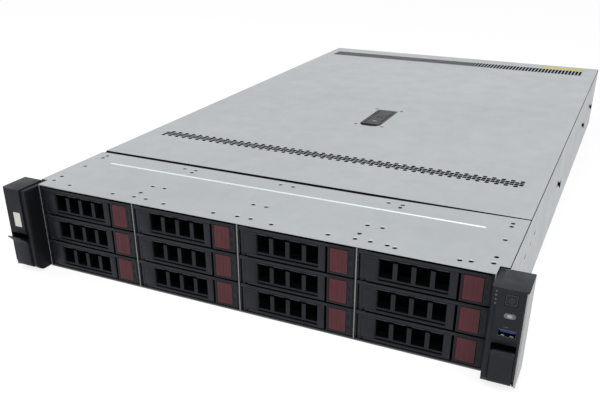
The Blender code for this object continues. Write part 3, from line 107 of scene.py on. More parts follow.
class ServerSizes(bpy.types.PropertyGroup):
    """Small sizes of the fine pieces."""

    edge: FloatProperty(
        name="Plastic edge", description="Rounding of moulded edges", unit="LENGTH", min=0.0001, max=0.0006,
        default=0.0003)
    sheet_edge: FloatProperty(
        name="Sheet edge", description="Rounding of sheet edges", unit="LENGTH", min=0.0001, max=0.0004,
        default=0.0002)
    rib_depth: FloatProperty(
        name="Rib depth", description="Depth of the groove pressed in the front deck", unit="LENGTH", min=0.0002,
        max=0.0008, default=0.0006)
    groove: FloatProperty(
        name="Groove", description="Width of the grooves in the release tiles", unit="LENGTH", min=0.0003,
        max=0.001, default=0.0004)


class StudioSettings(bpy.types.PropertyGroup):
    """Camera and light of the studio."""

    lens: FloatProperty(name="Lens", description="Focal length in millimetres", min=20, max=120, default=43.0)
    world_level: FloatProperty(
        name="Surrounding light", description="Strength of the even light from all sides", min=0, max=2, default=0.62)
    key_level: FloatProperty(
        name="Key light", description="Power of the large lamp above", unit="POWER", min=0, max=200, default=11)


# ---------------------------------------------------------------- modelling by hand, in code


def chosen():
    """The small sizes as the user has set them."""
    return bpy.context.scene.server_sizes


def alone(piece):
    """Select one piece and nothing else."""
    if bpy.context.object and bpy.context.object.mode != "OBJECT":
        bpy.ops.object.mode_set(mode="OBJECT")
    bpy.ops.object.select_all(action="DESELECT")
    if piece:
        piece.select_set(True)
        bpy.context.view_layer.objects.active = piece


def settled(name):
    """Name the new primitive and lay its place, turn and size into its mesh."""
    piece = bpy.context.object
    piece.name = piece.data.name = name
    bpy.ops.object.transform_apply(location=True, rotation=True, scale=True)
    return piece


def block(name, x, y, z):
    """A block between three spans, Y measured from the tray fronts."""
    alone(None)
    x, y, z = sorted(x), sorted(y), sorted(z)
    middle = ((x[0] + x[1]) / 2, (y[0] + y[1]) / 2 + FRONT, (z[0] + z[1]) / 2)
    bpy.ops.mesh.primitive_cube_add(size=1, location=middle, scale=(x[1] - x[0], y[1] - y[0], z[1] - z[0]))
    return settled(name)


TURNS = {"X": (0, math.pi / 2, 0), "Y": (math.pi / 2, 0, 0), "Z": (0, 0, 0)}


def rod(name, axis, centre, radius, length, sides=32, end_radius=None):
    """A round rod or cone about its middle, along an axis."""
    alone(None)
    bpy.ops.mesh.primitive_cone_add(
        vertices=sides, radius1=radius, radius2=radius if end_radius is None else end_radius, depth=length,
        location=(centre[0], centre[1] + FRONT, centre[2]), rotation=TURNS[axis])
    return settled(name)


def ring(name, axis, centre, radius, thick, steps=36):
    """A round wire ring lying across an axis."""
    alone(None)
    bpy.ops.mesh.primitive_torus_add(
        major_radius=radius, minor_radius=thick, major_segments=steps, minor_segments=10,
        location=(centre[0], centre[1] + FRONT, centre[2]), rotation=TURNS[axis])
    return settled(name)


def span(middle, width):
    """Span of a width about a middle."""
    return (middle - width / 2, middle + width / 2)


def pick(piece, test, kind="FACE"):
    """Open a piece in edit mode with only the faces, edges or corners chosen that pass a test."""
    alone(piece)
    bpy.ops.object.mode_set(mode="EDIT")
    bpy.ops.mesh.select_mode(type=kind)
    bpy.ops.mesh.select_all(action="DESELECT")
    shape = bmesh.from_edit_mesh(piece.data)
    items = {"FACE": shape.faces, "EDGE": shape.edges, "VERT": shape.verts}[kind]
    wanted = [item for item in items if test(item)]
    if not wanted:
        raise RuntimeError(f"nothing to select on {piece.name}")
    for item in wanted:
        item.select_set(True)
    bmesh.update_edit_mesh(piece.data)


def squeezed(piece, share):
    """Resize a piece about its middle along the axes."""
    pick(piece, lambda face: True)
    bpy.ops.transform.resize(value=share)
    back_out()
    return piece


def back_out():
    """Leave edit mode."""
    bpy.ops.object.mode_set(mode="OBJECT")


def middle_of(item):
    """Middle of a face or edge, Y measured from the tray fronts."""
    points = [vert.co for vert in item.verts]
    return sum(points, Vector()) / len(points) - Vector((0, FRONT, 0))


def bevel_edges(piece, axis, width, segments=3, where=None):
    """Round the edges of a piece that run along an axis, or those whose middle passes a test."""
    pick(piece, lambda edge: lies_along(edge, axis) and (where is None or where(middle_of(edge))), "EDGE")
    bpy.ops.mesh.bevel(offset=width, segments=segments, profile=0.5, affect="EDGES", clamp_overlap=True)
    back_out()


def push_faces(piece, test, move):
    """Extrude the chosen faces by a move."""
    pick(piece, test)
    bpy.ops.mesh.extrude_region_move(TRANSFORM_OT_translate={"value": move})
    back_out()


def slice_at(piece, axis, places):
    """Cut a piece's faces at places along an axis, keeping both halves."""
    normal = Vector([axis == letter for letter in "XYZ"])
    alone(piece)
    bpy.ops.object.mode_set(mode="EDIT")
    for place in places:
        bpy.ops.mesh.select_all(action="SELECT")
        at = normal * place + Vector((0, FRONT, 0)) * (axis == "Y")
        bpy.ops.mesh.bisect(plane_co=at, plane_no=normal)
    back_out()


def lies_along(edge, axis):
    """True where an edge runs along an axis."""
    way = (edge.verts[1].co - edge.verts[0].co).normalized()
    return abs(way["XYZ".index(axis)]) > 0.99


def near(first, second, within=0.00005):
    """True where two lengths agree."""
    return abs(first - second) < within


def joined(name, pieces):
    """Join pieces into one object."""
    alone(pieces[0])
    for piece in pieces:
        piece.select_set(True)
    bpy.ops.object.join()
    pieces[0].name = pieces[0].data.name = name
    return pieces[0]


def work(piece, tool, operation="DIFFERENCE"):
    """Cut a tool from a piece, or add it to the piece, and throw the tool away."""
    alone(piece)
    change = piece.modifiers.new("work", "BOOLEAN")
    change.operation, change.object, change.solver = operation, tool, "EXACT"
    bpy.ops.object.modifier_apply(modifier=change.name)
    bpy.data.objects.remove(tool, do_unlink=True)
    return piece


def eased(piece, width, segments=2, angle=32, smooth=True):
    """Take the sharpness off a piece's edges, and shade its rounds smooth or its sheets flat."""
    alone(piece)
    if width:
        soft = piece.modifiers.new("eased", "BEVEL")
        soft.width, soft.segments, soft.limit_method = width, segments, "ANGLE"
        soft.angle_limit, soft.use_clamp_overlap = math.radians(angle), True
        bpy.ops.object.modifier_apply(modifier=soft.name)
    if smooth:
        bpy.ops.object.shade_smooth_by_angle(angle=math.radians(angle))
    else:
        bpy.ops.object.shade_flat()
    return piece


def gathered(name, pieces, finish, body="base"):
    """Small pieces joined under one name and finish."""
    return dress(eased(joined(name, pieces), 0), finish, body)


def copied(piece, name, move=(0, 0, 0), mirror=False):
    """A copy with its own mesh, moved, or mirrored across the server's middle plane."""
    twin = piece.copy()
    twin.data = piece.data.copy()
    twin.name = twin.data.name = name
    bpy.context.scene.collection.objects.link(twin)
    if mirror:
        twin.data.transform(Matrix.Diagonal((-1, 1, 1, 1)))
        twin.data.flip_normals()
    twin.data.transform(Matrix.Translation(move))
    return twin


def dress(piece, finish, body, *nodes, slot=None):
    """Give a piece its finish, set it on its body, and let it stand for CAD nodes."""
    if finish:
        coated(piece, finish)
    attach(piece, body)
    if nodes:
        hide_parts(*nodes)
    return piece


def coated(piece, finish):
    """Give a piece its first finish."""
    piece.data.materials.clear()
    piece.data.materials.append(FINISHES[finish])
    return piece


def repaint(piece, finish, test):
    """Give another finish to the faces whose middle and normal pass a test."""
    piece.data.materials.append(FINISHES[finish])
    for face in piece.data.polygons:
        if test(face.center - Vector((0, FRONT, 0)), face.normal):
            face.material_index = len(piece.data.materials) - 1
    return piece


# ---------------------------------------------------------------- finishes


WHITE = (1, 1, 1)


def wired(tree, kind, inputs=None, **settings):
    """A new node, whose inputs get values, or links where a value is the output of a node."""
    node = tree.nodes.new("ShaderNode" + kind)
    for key, value in settings.items():
        setattr(node, key, value)
    for key, value in (inputs or {}).items():
        if isinstance(value, bpy.types.NodeSocket):
            tree.links.new(value, node.inputs[key])
        else:
            node.inputs[key].default_value = value
    return node


class Finish:
    """A Principled material under construction, read in object coordinates."""

    def __init__(self, name, colour, roughness, metallic=0.0, specular=0.5):
        self.material = bpy.data.materials.new(name)
        self.material.use_nodes = True
        self.material.diffuse_color = (*colour, 1)
        self.tree = self.material.node_tree
        self.shader = self.tree.nodes["Principled BSDF"].inputs
        for key, value in (("Base Color", (*colour, 1)), ("Roughness", roughness), ("Metallic", metallic),
                           ("Specular IOR Level", specular)):
            self.shader[key].default_value = value
        self.place = self.add("TexCoord")["Object"]
        self.bump = None

    def add(self, kind, inputs=None, **settings):
        """Outputs of a new node."""
        return wired(self.tree, kind, inputs, **settings).outputs

    def stretched(self, scale):
        """Object coordinates stretched along the axes."""
        return self.add("Mapping", {"Scale": scale, "Vector": self.place})["Vector"]

    def noise(self, scale, detail=3, place=None, distortion=0.0):
        """Cloudy pattern."""
        return self.add("TexNoise", {
            "Scale": scale, "Detail": detail, "Distortion": distortion, "Vector": place or self.place})[0]

    def cells(self, scale, place):
        """Grains, each with a grey of its own."""
        return self.add("SeparateColor", {0: self.add("TexVoronoi", {"Scale": scale, "Vector": place})["Color"]})[0]

    def spread(self, value, low, high, start=0.3, end=0.7):
        """The value's middle range laid over a span of greys."""
        return self.add("MapRange", {
            "Value": value, "From Min": start, "From Max": end, "To Min": low, "To Max": high})[0]

    def tinted(self, value, first, last):
        """Mix of two colours by a value."""
        return self.add("Mix", {"Factor": value, 6: (*first, 1), 7: (*last, 1)}, data_type="RGBA")[2]

    def clouded(self, scale, detail, first, last, place=None):
        """Mix of two colours in soft clouds."""
        return self.tinted(self.spread(self.noise(scale, detail, place), 0, 1), first, last)

    def maths(self, operation, first, second):
        """A sum of two values, each a number or the output of a node."""
        return self.add("Math", {0: first, 1: second}, operation=operation)[0]

    def times(self, first, second):
        """Product of two colours."""
        return self.add("Mix", {"Factor": 1, 6: first, 7: second}, data_type="RGBA", blend_type="MULTIPLY")[2]

    def feed(self, socket, value):
        """Lead a value into the shader."""
        self.tree.links.new(value, self.shader[socket])

    def bumped(self, value, height):
        """Lay a relief over the surface, on top of an earlier one."""
        earlier = {"Normal": self.bump} if self.bump else {}
        self.bump = self.add("Bump", {"Distance": height, "Strength": 1.0, "Height": value, **earlier})["Normal"]
        self.feed("Normal", self.bump)


def shade(colour, factor):
    """A colour made darker or lighter."""
    return tuple(min(1.0, part * factor) for part in colour)


def galvanised(name, colour, roughness=0.42, metallic=0.75, strength=1.0):
    """Galvanised sheet: pale zinc grains, soft clouds and faint rolling lines."""
    finish = Finish(name, colour, roughness, metallic)
    clouds = finish.clouded(5, 4, shade(colour, 1 - 0.045 * strength), shade(colour, 1 + 0.03 * strength))
    warped = finish.stretched((1.0, 0.7, 1.0))
    grains = finish.tinted(finish.spread(finish.cells(95, warped), 0, 1, 0, 1), (1 - 0.035 * strength,) * 3, WHITE)
    lines = finish.clouded(1, 2, (1 - 0.03 * strength,) * 3, WHITE, finish.stretched((4, 900, 900)))
    finish.feed("Base Color", finish.times(finish.times(clouds, grains), lines))
    finish.feed("Roughness", finish.spread(finish.noise(34, 4), roughness - 0.06, roughness + 0.06))
    finish.bumped(finish.noise(1, 2, finish.stretched((8, 1400, 1400))), 0.000006)
    finish.bumped(finish.noise(7, 2), 0.00012)
    return finish.material


def moulded(name, colour, roughness=0.5, grain=1500, height=0.00003, specular=0.2):
    """Moulded plastic: a fine spark-eroded grain, faint clouds and handling marks."""
    finish = Finish(name, colour, roughness, 0.0, specular)
    finish.feed("Base Color", finish.clouded(38, 4, shade(colour, 0.86), shade(colour, 1.14)))
    finish.feed("Roughness", finish.spread(finish.noise(90, 5, None, 0.6), roughness - 0.08, roughness + 0.08))
    finish.bumped(finish.noise(grain, 2), height)
    return finish.material


def cage_sheet(name, colour, dark):
    """Drive cage: bright on its flanges and on the cut front edges of its walls, and near black inside as painted
    shade.
    """
    finish = Finish(name, colour, 0.5, 0.4)
    across, along, _ = finish.add("SeparateXYZ", {0: finish.place})
    flank = finish.maths("GREATER_THAN", finish.maths("ABSOLUTE", across, 0), HALF_SPAN - 0.0028)
    wall = finish.maths("LESS_THAN", finish.maths("PINGPONG", across, PITCH_X / 2), 0.00052)
    edge = finish.maths("MULTIPLY", wall, finish.maths("LESS_THAN", along, FRONT + SEAT))
    edge = finish.maths("MULTIPLY", edge, 0.5)
    # the dark colour is painted shade inside the cage
    coat = finish.tinted(finish.maths("MAXIMUM", flank, edge), dark, colour)
    finish.feed("Base Color", finish.times(coat, finish.clouded(30, 4, (0.9,) * 3, WHITE)))
    finish.bumped(finish.noise(1, 2, finish.stretched((400, 8, 400))), 0.00001)
    return finish.material


def circuit(name, colour):
    """Circuit board: solder mask over tracks."""
    finish = Finish(name, colour, 0.38)
    tracks = finish.add("TexBrick", {
        "Vector": finish.place, "Scale": 60, "Mortar Size": 0.03, "Color1": (*colour, 1),
        "Color2": (*shade(colour, 0.8), 1), "Mortar": (*shade(colour, 1.6), 1)})
    finish.feed("Base Color", finish.times(tracks["Color"], finish.clouded(25, 3, (0.8,) * 3, WHITE)))
    finish.bumped(tracks["Fac"], 0.00003)
    return finish.material


def plated(name, colour, roughness=0.28):
    """Plated metal with fine draw marks."""
    finish = Finish(name, colour, roughness, 1.0)
    finish.feed("Base Color", finish.clouded(60, 3, shade(colour, 0.88), shade(colour, 1.05)))
    finish.feed("Roughness", finish.spread(finish.noise(300, 3), roughness - 0.06, roughness + 0.08))
    finish.bumped(finish.noise(1, 1, finish.stretched((300, 3000, 3000))), 0.000006)
    return finish.material


FINISHES = {}


def make_finishes(colours):
    """All finishes of the server, made once."""
    steel, plastic, ear = tuple(colours.steel), tuple(colours.plastic), tuple(colours.ear)
    FINISHES.update(
        steel=galvanised("galvanised_sheet", steel),
        # painted shade: the steel made darker for the body's side walls, which get less light
        wall=galvanised("wall_sheet_painted_shade", shade(steel, 0.88)),
        # painted highlight: lighter steel for the rib groove, where its walls catch the light
        rib=galvanised("rib_painted_highlight", shade(steel, 1.52), 0.38, 0.45, 0.6),
        cut_edge=galvanised("cut_edge", shade(steel, 0.32), 0.5, 0.5),
        # the cage's second colour is near-black painted shade for its inside
        cage=cage_sheet("cage_sheet", (0.435, 0.44, 0.445), (0.01, 0.011, 0.013)),
        plastic=moulded("tray_plastic", plastic, 0.46),
        lever=moulded("lever_plastic", shade(plastic, 1.15), 0.44),
        lintel=moulded("lintel_plastic", shade(plastic, 1.5), 0.48),
        # painted highlight for the lower edge of the lintel over each window
        hood=moulded("hood_painted_highlight", shade(plastic, 5), 0.5),
        ear=moulded("ear_plastic", ear, 0.5, 1300, 0.00004),
        # painted light: the ear plastic made lighter for the tops, where light from above falls
        ear_top=moulded("ear_top_painted_light", shade(ear, 1.3), 0.5, 1300, 0.00004),
        # painted shade: the ear plastic made darker for the sides and niche that lie in shade
        ear_shade=moulded("ear_side_painted_shade", shade(ear, 0.4), 0.6, 1300, 0.00004, 0.12),
        latch=moulded("latch_plastic", ear, 0.52),
        handle=moulded("handle_plastic", (0.034, 0.035, 0.037), 0.48),
        tile=moulded("tile_plastic", tuple(colours.tile), 0.42, 1700, 0.00002),
        lens=moulded("lens_plastic", shade(plastic, 0.5), 0.3),
        pale=moulded("pale_plastic", (0.13, 0.135, 0.14), 0.4),
        bright=moulded("lit_lens", (0.34, 0.345, 0.34), 0.4),
        mark=moulded("mark_print", (0.075, 0.078, 0.082), 0.5),
        plate=moulded("blank_plate", tuple(colours.plate), 0.42),
        label=moulded("blank_label", (0.62, 0.52, 0.13), 0.45),
        tongue=moulded("tongue_plastic", tuple(colours.tongue), 0.4),
        board=circuit("solder_mask", tuple(colours.board)),
        plated=plated("plated_shell", (0.11, 0.11, 0.11), 0.36),
        gold=plated("gold_contact", (0.66, 0.6, 0.48), 0.25),
        disk=plated("disk_casting", (0.42, 0.43, 0.44), 0.42),
        supply=galvanised("supply_case", (0.46, 0.47, 0.475), 0.45, 0.8),
        scoop=plated("scoop_floor", (0.46, 0.5, 0.58), 0.36),
        # painted shade: near black for faces and pieces where shade falls, in holes, slots, pockets, gaps and hollows
        shadow=moulded("painted_inner_shadow", (0.0022, 0.0028, 0.0036), 0.7, 1500, 0.00003, 0.04),
    )


# ---------------------------------------------------------------- sheet metal


def cutter_row(name, template, places):
    """Copies of one cutter, joined into a single tool."""
    tools = [copied(template, f"{name}_{index}", move) for index, move in enumerate(places)]
    bpy.data.objects.remove(template, do_unlink=True)
    return joined(name, tools)


def flared_holes(name, places, radius, rim, depth):
    """One tool for round holes whose edges are pressed in to a soft funnel."""
    hole = rod(name, "Z", (0, 0, TOP - SHEET / 2), radius, 4 * SHEET, 20)
    funnel = rod(name + "_rim", "Z", (0, 0, TOP - depth / 2 + SHEET / 8), radius * 0.98, depth + SHEET / 4, 20, rim)
    work(hole, funnel, "UNION")
    return cutter_row(name, hole, [(x, y, 0) for x, y in places])


LABEL_X, LABEL_Y = (0.139, 0.2025), (0.7455, 0.762)


def build_cover():
    """Sliding cover: vents over near-black sheets of painted shadow, latch opening, fastener dimples and inner
    guides.
    """
    sheet = block("cover_sheet", (-HALF_BODY, HALF_BODY), (COVER_START, DEPTH), (TOP - SHEET, TOP))
    for side in (-1, 1):
        guide = block("guide", (side * 0.214, side * 0.215), (0.262, 0.5), (TOP - 0.005, TOP - SHEET / 2))
        work(sheet, guide, "UNION")
    work(sheet, latch_cutter(0.0005, TOP - 0.004, TOP + OVER))
    slot = block("vent_slot", span(0, 0.0041), (0.1828, 0.187), (TOP - 2 * SHEET, TOP + SHEET))
    bevel_edges(slot, "Z", 0.0008, 2)
    places = [((column - 44.5) * 0.0045, column % 2 * 0.0044 + step * 0.005, 0)
              for column in range(90) for step in range(3)]
    work(sheet, cutter_row("front_vents", slot, places))
    slot = block("vent_slot", span(0, 0.0036), (0.7115, 0.7415), (TOP - 2 * SHEET, TOP + SHEET))
    bevel_edges(slot, "Z", 0.0012, 3)
    work(sheet, cutter_row("rear_vents", slot, [((index - 41) * 0.005 - 0.001, 0, 0) for index in range(82)]))
    work(sheet, block("label_seat", LABEL_X, LABEL_Y, (TOP - 0.0002, TOP + OVER)))
    corners = [(x, y) for x in (-0.0165, 0.0165) for y in (0.3205, 0.3965)]
    work(sheet, flared_holes("cover_dimples", corners, 0.0021, 0.0028, 0.0004))
    eased(sheet, chosen().sheet_edge, 1, 50, False)
    dress(sheet, "steel", "cover", "top_cover", slot="galvanised_steel")
    repaint(sheet, "shadow", lambda at, normal: abs(normal.z) < 0.3 and at.y < DEPTH - OVER)
    label = block("cover_blank_label", (LABEL_X[0] + 0.0001, LABEL_X[1] - 0.0001),
                  (LABEL_Y[0] + 0.0001, LABEL_Y[1] - 0.0001), (TOP - 0.0003, TOP - 0.00002))
    dress(label, "label", "cover")
    # near-black sheets under the vent rows: painted shadow seen through the slots
    shadow_sheets = [block("shadow_sheet", (-0.21, 0.206), y, (TOP - 0.0014, TOP - 0.0011))
               for y in ((0.181, 0.2035), (0.71, 0.745))]
    dress(joined("cover_vent_shadow_sheets", shadow_sheets), "shadow", "cover")


def deck_places():
    """Places of the plain holes and of the pressed dimples in the front deck."""
    holes, dimples, half = [], [], 0.0065
    for x in (-PITCH_X, 0, PITCH_X):
        holes += [(x - half, 0.023), (x + half, 0.089)]
        dimples += [(x + side * half, y) for y in (0.013, 0.042, 0.0965) for side in (-1, 1)]
        dimples += [(x - 0.029, 0.011), (x + 0.0275, 0.01)]
    dimples += [(-0.1868, 0.0115), (0.1854, 0.0105), (0.1279, 0.012), (0.1937, 0.012)]
    for side in (-1, 1):
        dimples += [(side * 0.2095, 0.016), (side * 0.2095, 0.061)]
        holes += [(side * 0.2095, 0.0265), (side * 0.2095, 0.0885), (side * 0.2095, 0.0955)]
    return holes, dimples


def build_deck():
    """Front deck: notches for the ears, a rib with a painted highlight, plain holes and pressed dimples."""
    sheet = block("deck_sheet", (-HALF_BODY, HALF_BODY), (0, DECK_END), (TOP - SHEET, TOP))
    slice_at(sheet, "X", [0.08])
    pick(sheet, lambda vert: near(vert.co.y, DECK_END + FRONT) and vert.co.x < 0.081, "VERT")
    bpy.ops.transform.translate(value=(0, -0.0038, 0))
    back_out()
    for side in (-1, 1):
        work(sheet, block("notch", (side * 0.2149, side * 0.23), (-OVER, 0.0126), (TOP - OVER, TOP + OVER)))
    rib = block("rib", (-0.192, 0.192), (0.0755, 0.0803), (TOP - chosen().rib_depth, TOP + SHEET))
    bevel_edges(rib, "Z", 0.0023, 5)
    pick(rib, lambda face: face.normal.z < -0.9)
    bpy.ops.transform.resize(value=(0.994, 0.45, 1))
    back_out()
    work(sheet, rib)
    holes, dimples = deck_places()
    work(sheet, flared_holes("deck_holes", holes, 0.0019, 0.0021, 0.0002))
    work(sheet, flared_holes("deck_dimples", dimples, 0.0019, 0.0031, 0.0006))
    eased(sheet, chosen().sheet_edge * 0.7, 1, 50, False)
    dress(sheet, "steel", "base", "front_deck", slot="galvanised_steel")
    # painted highlight on the faces of the rib groove
    repaint(sheet, "rib", lambda at, normal: (
        0.0753 < at.y < 0.0805 and abs(at.x) < 0.193 and TOP - 0.0008 < at.z < TOP - 0.00005))
    repaint(sheet, "shadow", lambda at, normal: abs(normal.z) < 0.3 and at.y > SEAT and (
        abs(at.y - 0.0779) > 0.0027 or abs(at.x) > 0.194))
    # near-black sheet under the deck and its seam with the cover: painted shadow seen through holes and gap
    shadow_sheet = block("deck_shadow_sheet", (-0.214, 0.214), (0.0015, COVER_START + 0.0015), (TOP - 0.0013, TOP - 0.001))
    dress(shadow_sheet, "shadow", "base")


def build_body():
    """Body shell: floor and walls in one folded sheet, rail studs and hooking slots."""
    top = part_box("chassis_base")[1].z
    half = 0.2225
    shell = block("body_shell", (-half, half), (0.0126, DEPTH - SHEET - SEAT), (0, top))
    hollow = block("hollow", (SHEET - half, half - SHEET), (-0.01, DEPTH + 0.01), (SHEET, top - SHEET))
    work(shell, hollow)
    work(shell, block("mouth", (-0.2155, 0.2155), (-0.01, DEPTH + 0.01), (top - OVER, top + OVER)))
    work(shell, block("tongue", (-0.2149, 0.2149), (0, 0.0146), (0, SHEET)), "UNION")
    for side in (-1, 1):
        for y, length in ((0.1, 0.009), (0.128, 0.004), (0.154, 0.009)):
            slot = block("slot", (side * 0.22, side * 0.226), span(y, length), span(0.056, 0.003))
            bevel_edges(slot, "X", 0.0013, 4)
            work(shell, slot)
        for y in (0.331, 0.591, 0.703):
            stud = rod("stud", "X", (side * 0.22345, y, 0.043), 0.0022, 0.0027, 32)
            head = rod("head", "X", (side * 0.22445, y, 0.043), 0.0042, 0.0009, 32)
            dimple = rod("dimple", "X", (side * 0.2249, y, 0.043), 0.0012, 0.0008, 20)
            work(stud, head, "UNION")
            work(stud, dimple)
            work(shell, stud, "UNION")
    eased(shell, chosen().sheet_edge, 1, 40, False)
    # the walls take the darker wall finish, painted shade of the steel
    dress(shell, "wall", "base", "chassis_base", slot="galvanised_steel")
    repaint(shell, "cut_edge", lambda at, normal: normal.y < -0.5 and at.y < SEAT)
    repaint(shell, "shadow", lambda at, normal: (
        abs(at.x) > 0.2228 and 0.04 < at.z < 0.046 or at.z > top - SEAT))


# ---------------------------------------------------------------- cover latch


LATCH_PIN = (0, 0.3905, TOP - 0.0025)


def latch_cutter(margin, low, high):
    """Tool of the latch opening: a straight pocket whose front end bulges into a scoop."""
    half, bulge = 0.0125 + margin, 0.0095 + margin
    radius = (half ** 2 + bulge ** 2) / (2 * bulge)
    scoop = rod("scoop", "Z", (0, 0.326 - bulge + radius, (low + high) / 2), radius, high - low, 72)
    work(scoop, block("keep", (-half, half), (0.3, 0.3262), (low - SHEET, high + SHEET)), "INTERSECT")
    return work(scoop, block("pocket", (-half, half), (0.326, 0.393 + margin), (low, high)), "UNION")


def build_cover_latch():
    """Latch cup with its pale scoop floor, and the ribbed handle with raised marks."""
    cup = block("latch_cup_shell", span(0, 0.029), (0.315, 0.395), (0.0747, TOP - SHEET - SEAT))
    rim = block("rim", span(0, 0.041), (0.307, 0.403), (TOP - 0.0025, TOP - SHEET - SEAT))
    work(cup, rim, "UNION")
    work(cup, latch_cutter(0.0005, 0.0762, TOP + OVER))
    work(cup, rod("bearing", "X", LATCH_PIN, 0.0014, 0.0296, 24))
    eased(cup, chosen().edge * 0.6, 1)
    dress(cup, "shadow", "cover", "latch_cup", slot="black_plastic")

    floor = latch_cutter(0.0002, 0.0764, TOP)
    work(floor, block("rear", (-0.02, 0.02), (0.3245, 0.41), (0.07, 0.09)))
    work(floor, rod("dip", "X", (0, 0.332, 0.1438), 0.06, 0.04, 200))
    floor.name = floor.data.name = "latch_scoop_floor"
    eased(floor, 0, 1)
    dress(floor, "scoop", "cover")

    handle = block("latch_handle_blade", span(0, 0.025), (0.3275, 0.393), (TOP - 0.003, TOP))
    bevel_edges(handle, "Z", 0.0016, 4, lambda at: at.y < 0.33)
    work(handle, rod("barrel", "X", LATCH_PIN, 0.0025, 0.025, 32), "UNION")
    work(handle, rod("pin", "X", LATCH_PIN, 0.001, 0.0282, 20), "UNION")
    for side in (-1, 1):
        work(handle, block("groove", span(side * 0.0092, 0.0011), (0.3315, 0.386), (TOP - 0.0006, TOP + OVER)))
    work(handle, squeezed(rod("oval", "Z", (0, 0.3425, TOP), 0.0034, 0.001, 40), (1, 0.62, 1)))
    for side in (-1, 1):
        work(handle, block("mark", span(side * 0.003, 0.0012), (0.356, 0.364), (TOP - 0.0004, TOP + OVER)))
        work(handle, block("mark", span(side * 0.0015, 0.004), span(0.36, 0.0012), (TOP - 0.0004, TOP + OVER)))
    eased(handle, chosen().edge * 0.7, 2, 35)
    dress(handle, "handle", "cover_handle", "latch_handle", slot="black_plastic")
    mark = squeezed(rod("latch_handle_mark", "Z", (0, 0.3425, TOP - 0.0005), 0.0031, 0.0006, 40), (1, 0.6, 1))
    dress(eased(mark, 0.0001, 1), "bright", "cover_handle")


# ---------------------------------------------------------------- drive trays


TRAY_LEFT, TRAY_RIGHT, TRAY_TOP = -0.0515, 0.0515, 0.0262
LEVER_RIGHT, LEVER_TOP = 0.027, 0.0227
BLOCK_LEFT, TILE_LEFT, TILE_RIGHT = 0.029, 0.0312, 0.0462
WINDOWS = [(-0.035 + index * 0.0149, -0.0238 + index * 0.0149) for index in range(4)]
WINDOW_TOP, POST_TOP = 0.0216, 0.0192
HINGE_X, HINGE_ROUND = TRAY_LEFT + 0.003, 0.00295


def tray_front():
    """Front frame of a tray: plate, top rail, button block with its pocket, and runners."""
    front = block("tray_front", (TRAY_LEFT, TRAY_RIGHT), (0.007, 0.0095), (0, TRAY_TOP))
    slice_at(front, "X", [-0.0455, BLOCK_LEFT])
    slice_at(front, "Z", [0.0015, 0.023])
    push_faces(front, lambda face: face.normal.y < -0.9 and (
        middle_of(face).x > BLOCK_LEFT or middle_of(face).z > 0.023
        or (middle_of(face).x < -0.0455 and middle_of(face).z < 0.0015)), (0, -0.007, 0))
    bevel_edges(front, "Z", HINGE_ROUND, 6, lambda at: at.y < SEAT and at.z < 0.0015 and at.x < -0.045)
    work(front, block("joint", (-0.044, TRAY_RIGHT + OVER), (-OVER, 0.003), (TRAY_TOP - 0.0005, TRAY_TOP + OVER)))
    pocket = block("pocket", (TILE_LEFT - 0.0003, TILE_RIGHT + 0.0005), (-OVER, 0.0055), (0.0015, 0.0231))
    bevel_edges(pocket, "Y", 0.0004, 2)
    work(front, pocket)
    work(front, block("air", (WINDOWS[0][0], WINDOWS[3][1]), (0.005, 0.012), (0.0059, 0.019)))
    for z in (0.008, 0.017):
        lens = block("lens", (0.0478, 0.0496), (-OVER, 0.0003), span(z, 0.0044))
        bevel_edges(lens, "Y", 0.0005, 2)
        work(front, lens)
    for side in (-1, 1):
        runner = block("runner", (side * 0.0503, side * 0.0526), (0.009, 0.1645), (0.008, 0.018))
        work(front, runner, "UNION")
        wing = block("wing", (side * 0.0516, side * 0.0526), (0.0003, 0.0095), (0.0003, TRAY_TOP - 0.0005))
        root = block("root", (side * 0.0505, side * 0.0526), (0.0072, 0.0093), (0.001, TRAY_TOP - 0.001))
        work(front, work(wing, root, "UNION"), "UNION")
        for y in (0.05, 0.09, 0.13):
            work(front, rod("screw_hole", "X", (side * 0.0526, y, 0.013), 0.0022, 0.0012, 20))
    work(front, rod("pin", "Z", (HINGE_X, 0.003, 0.0125), 0.0011, 0.0245, 20), "UNION")
    eased(front, chosen().edge, 2)
    coated(front, "plastic")
    repaint(front, "lintel", lambda at, normal: at.z > 0.0231 and at.x < BLOCK_LEFT and at.y < 0.001)
    return repaint(front, "shadow", lambda at, normal: (
        0.0012 < at.y < 0.0094 and TRAY_LEFT + SEAT < at.x < TRAY_RIGHT - SEAT and at.z > 0.0002))


def tray_disk():
    """Disk in its tray: a bevelled casting with a lid, a front face painted near black as shadow, and a hub."""
    disk = block("tray_disk", (-0.05, 0.05), (0.018, 0.165), (0.0006, 0.0256))
    pick(disk, lambda face: face.normal.z > 0.9)
    bpy.ops.mesh.inset(thickness=0.0045, depth=0)
    bpy.ops.mesh.extrude_region_move(TRANSFORM_OT_translate={"value": (0, 0, -0.0008)})
    back_out()
    for x in (-0.044, 0.044):
        for y in (0.024, 0.09, 0.158):
            work(disk, rod("lid_screw", "Z", (x, y, 0.025), 0.0022, 0.0008, 20), "UNION")
    work(disk, rod("hub", "Z", (0.012, 0.075, 0.025), 0.014, 0.001, 48), "UNION")
    eased(disk, 0.0006, 2)
    coated(disk, "disk")
    return repaint(disk, "shadow", lambda at, normal: normal.y < -0.5 and at.y < 0.02)


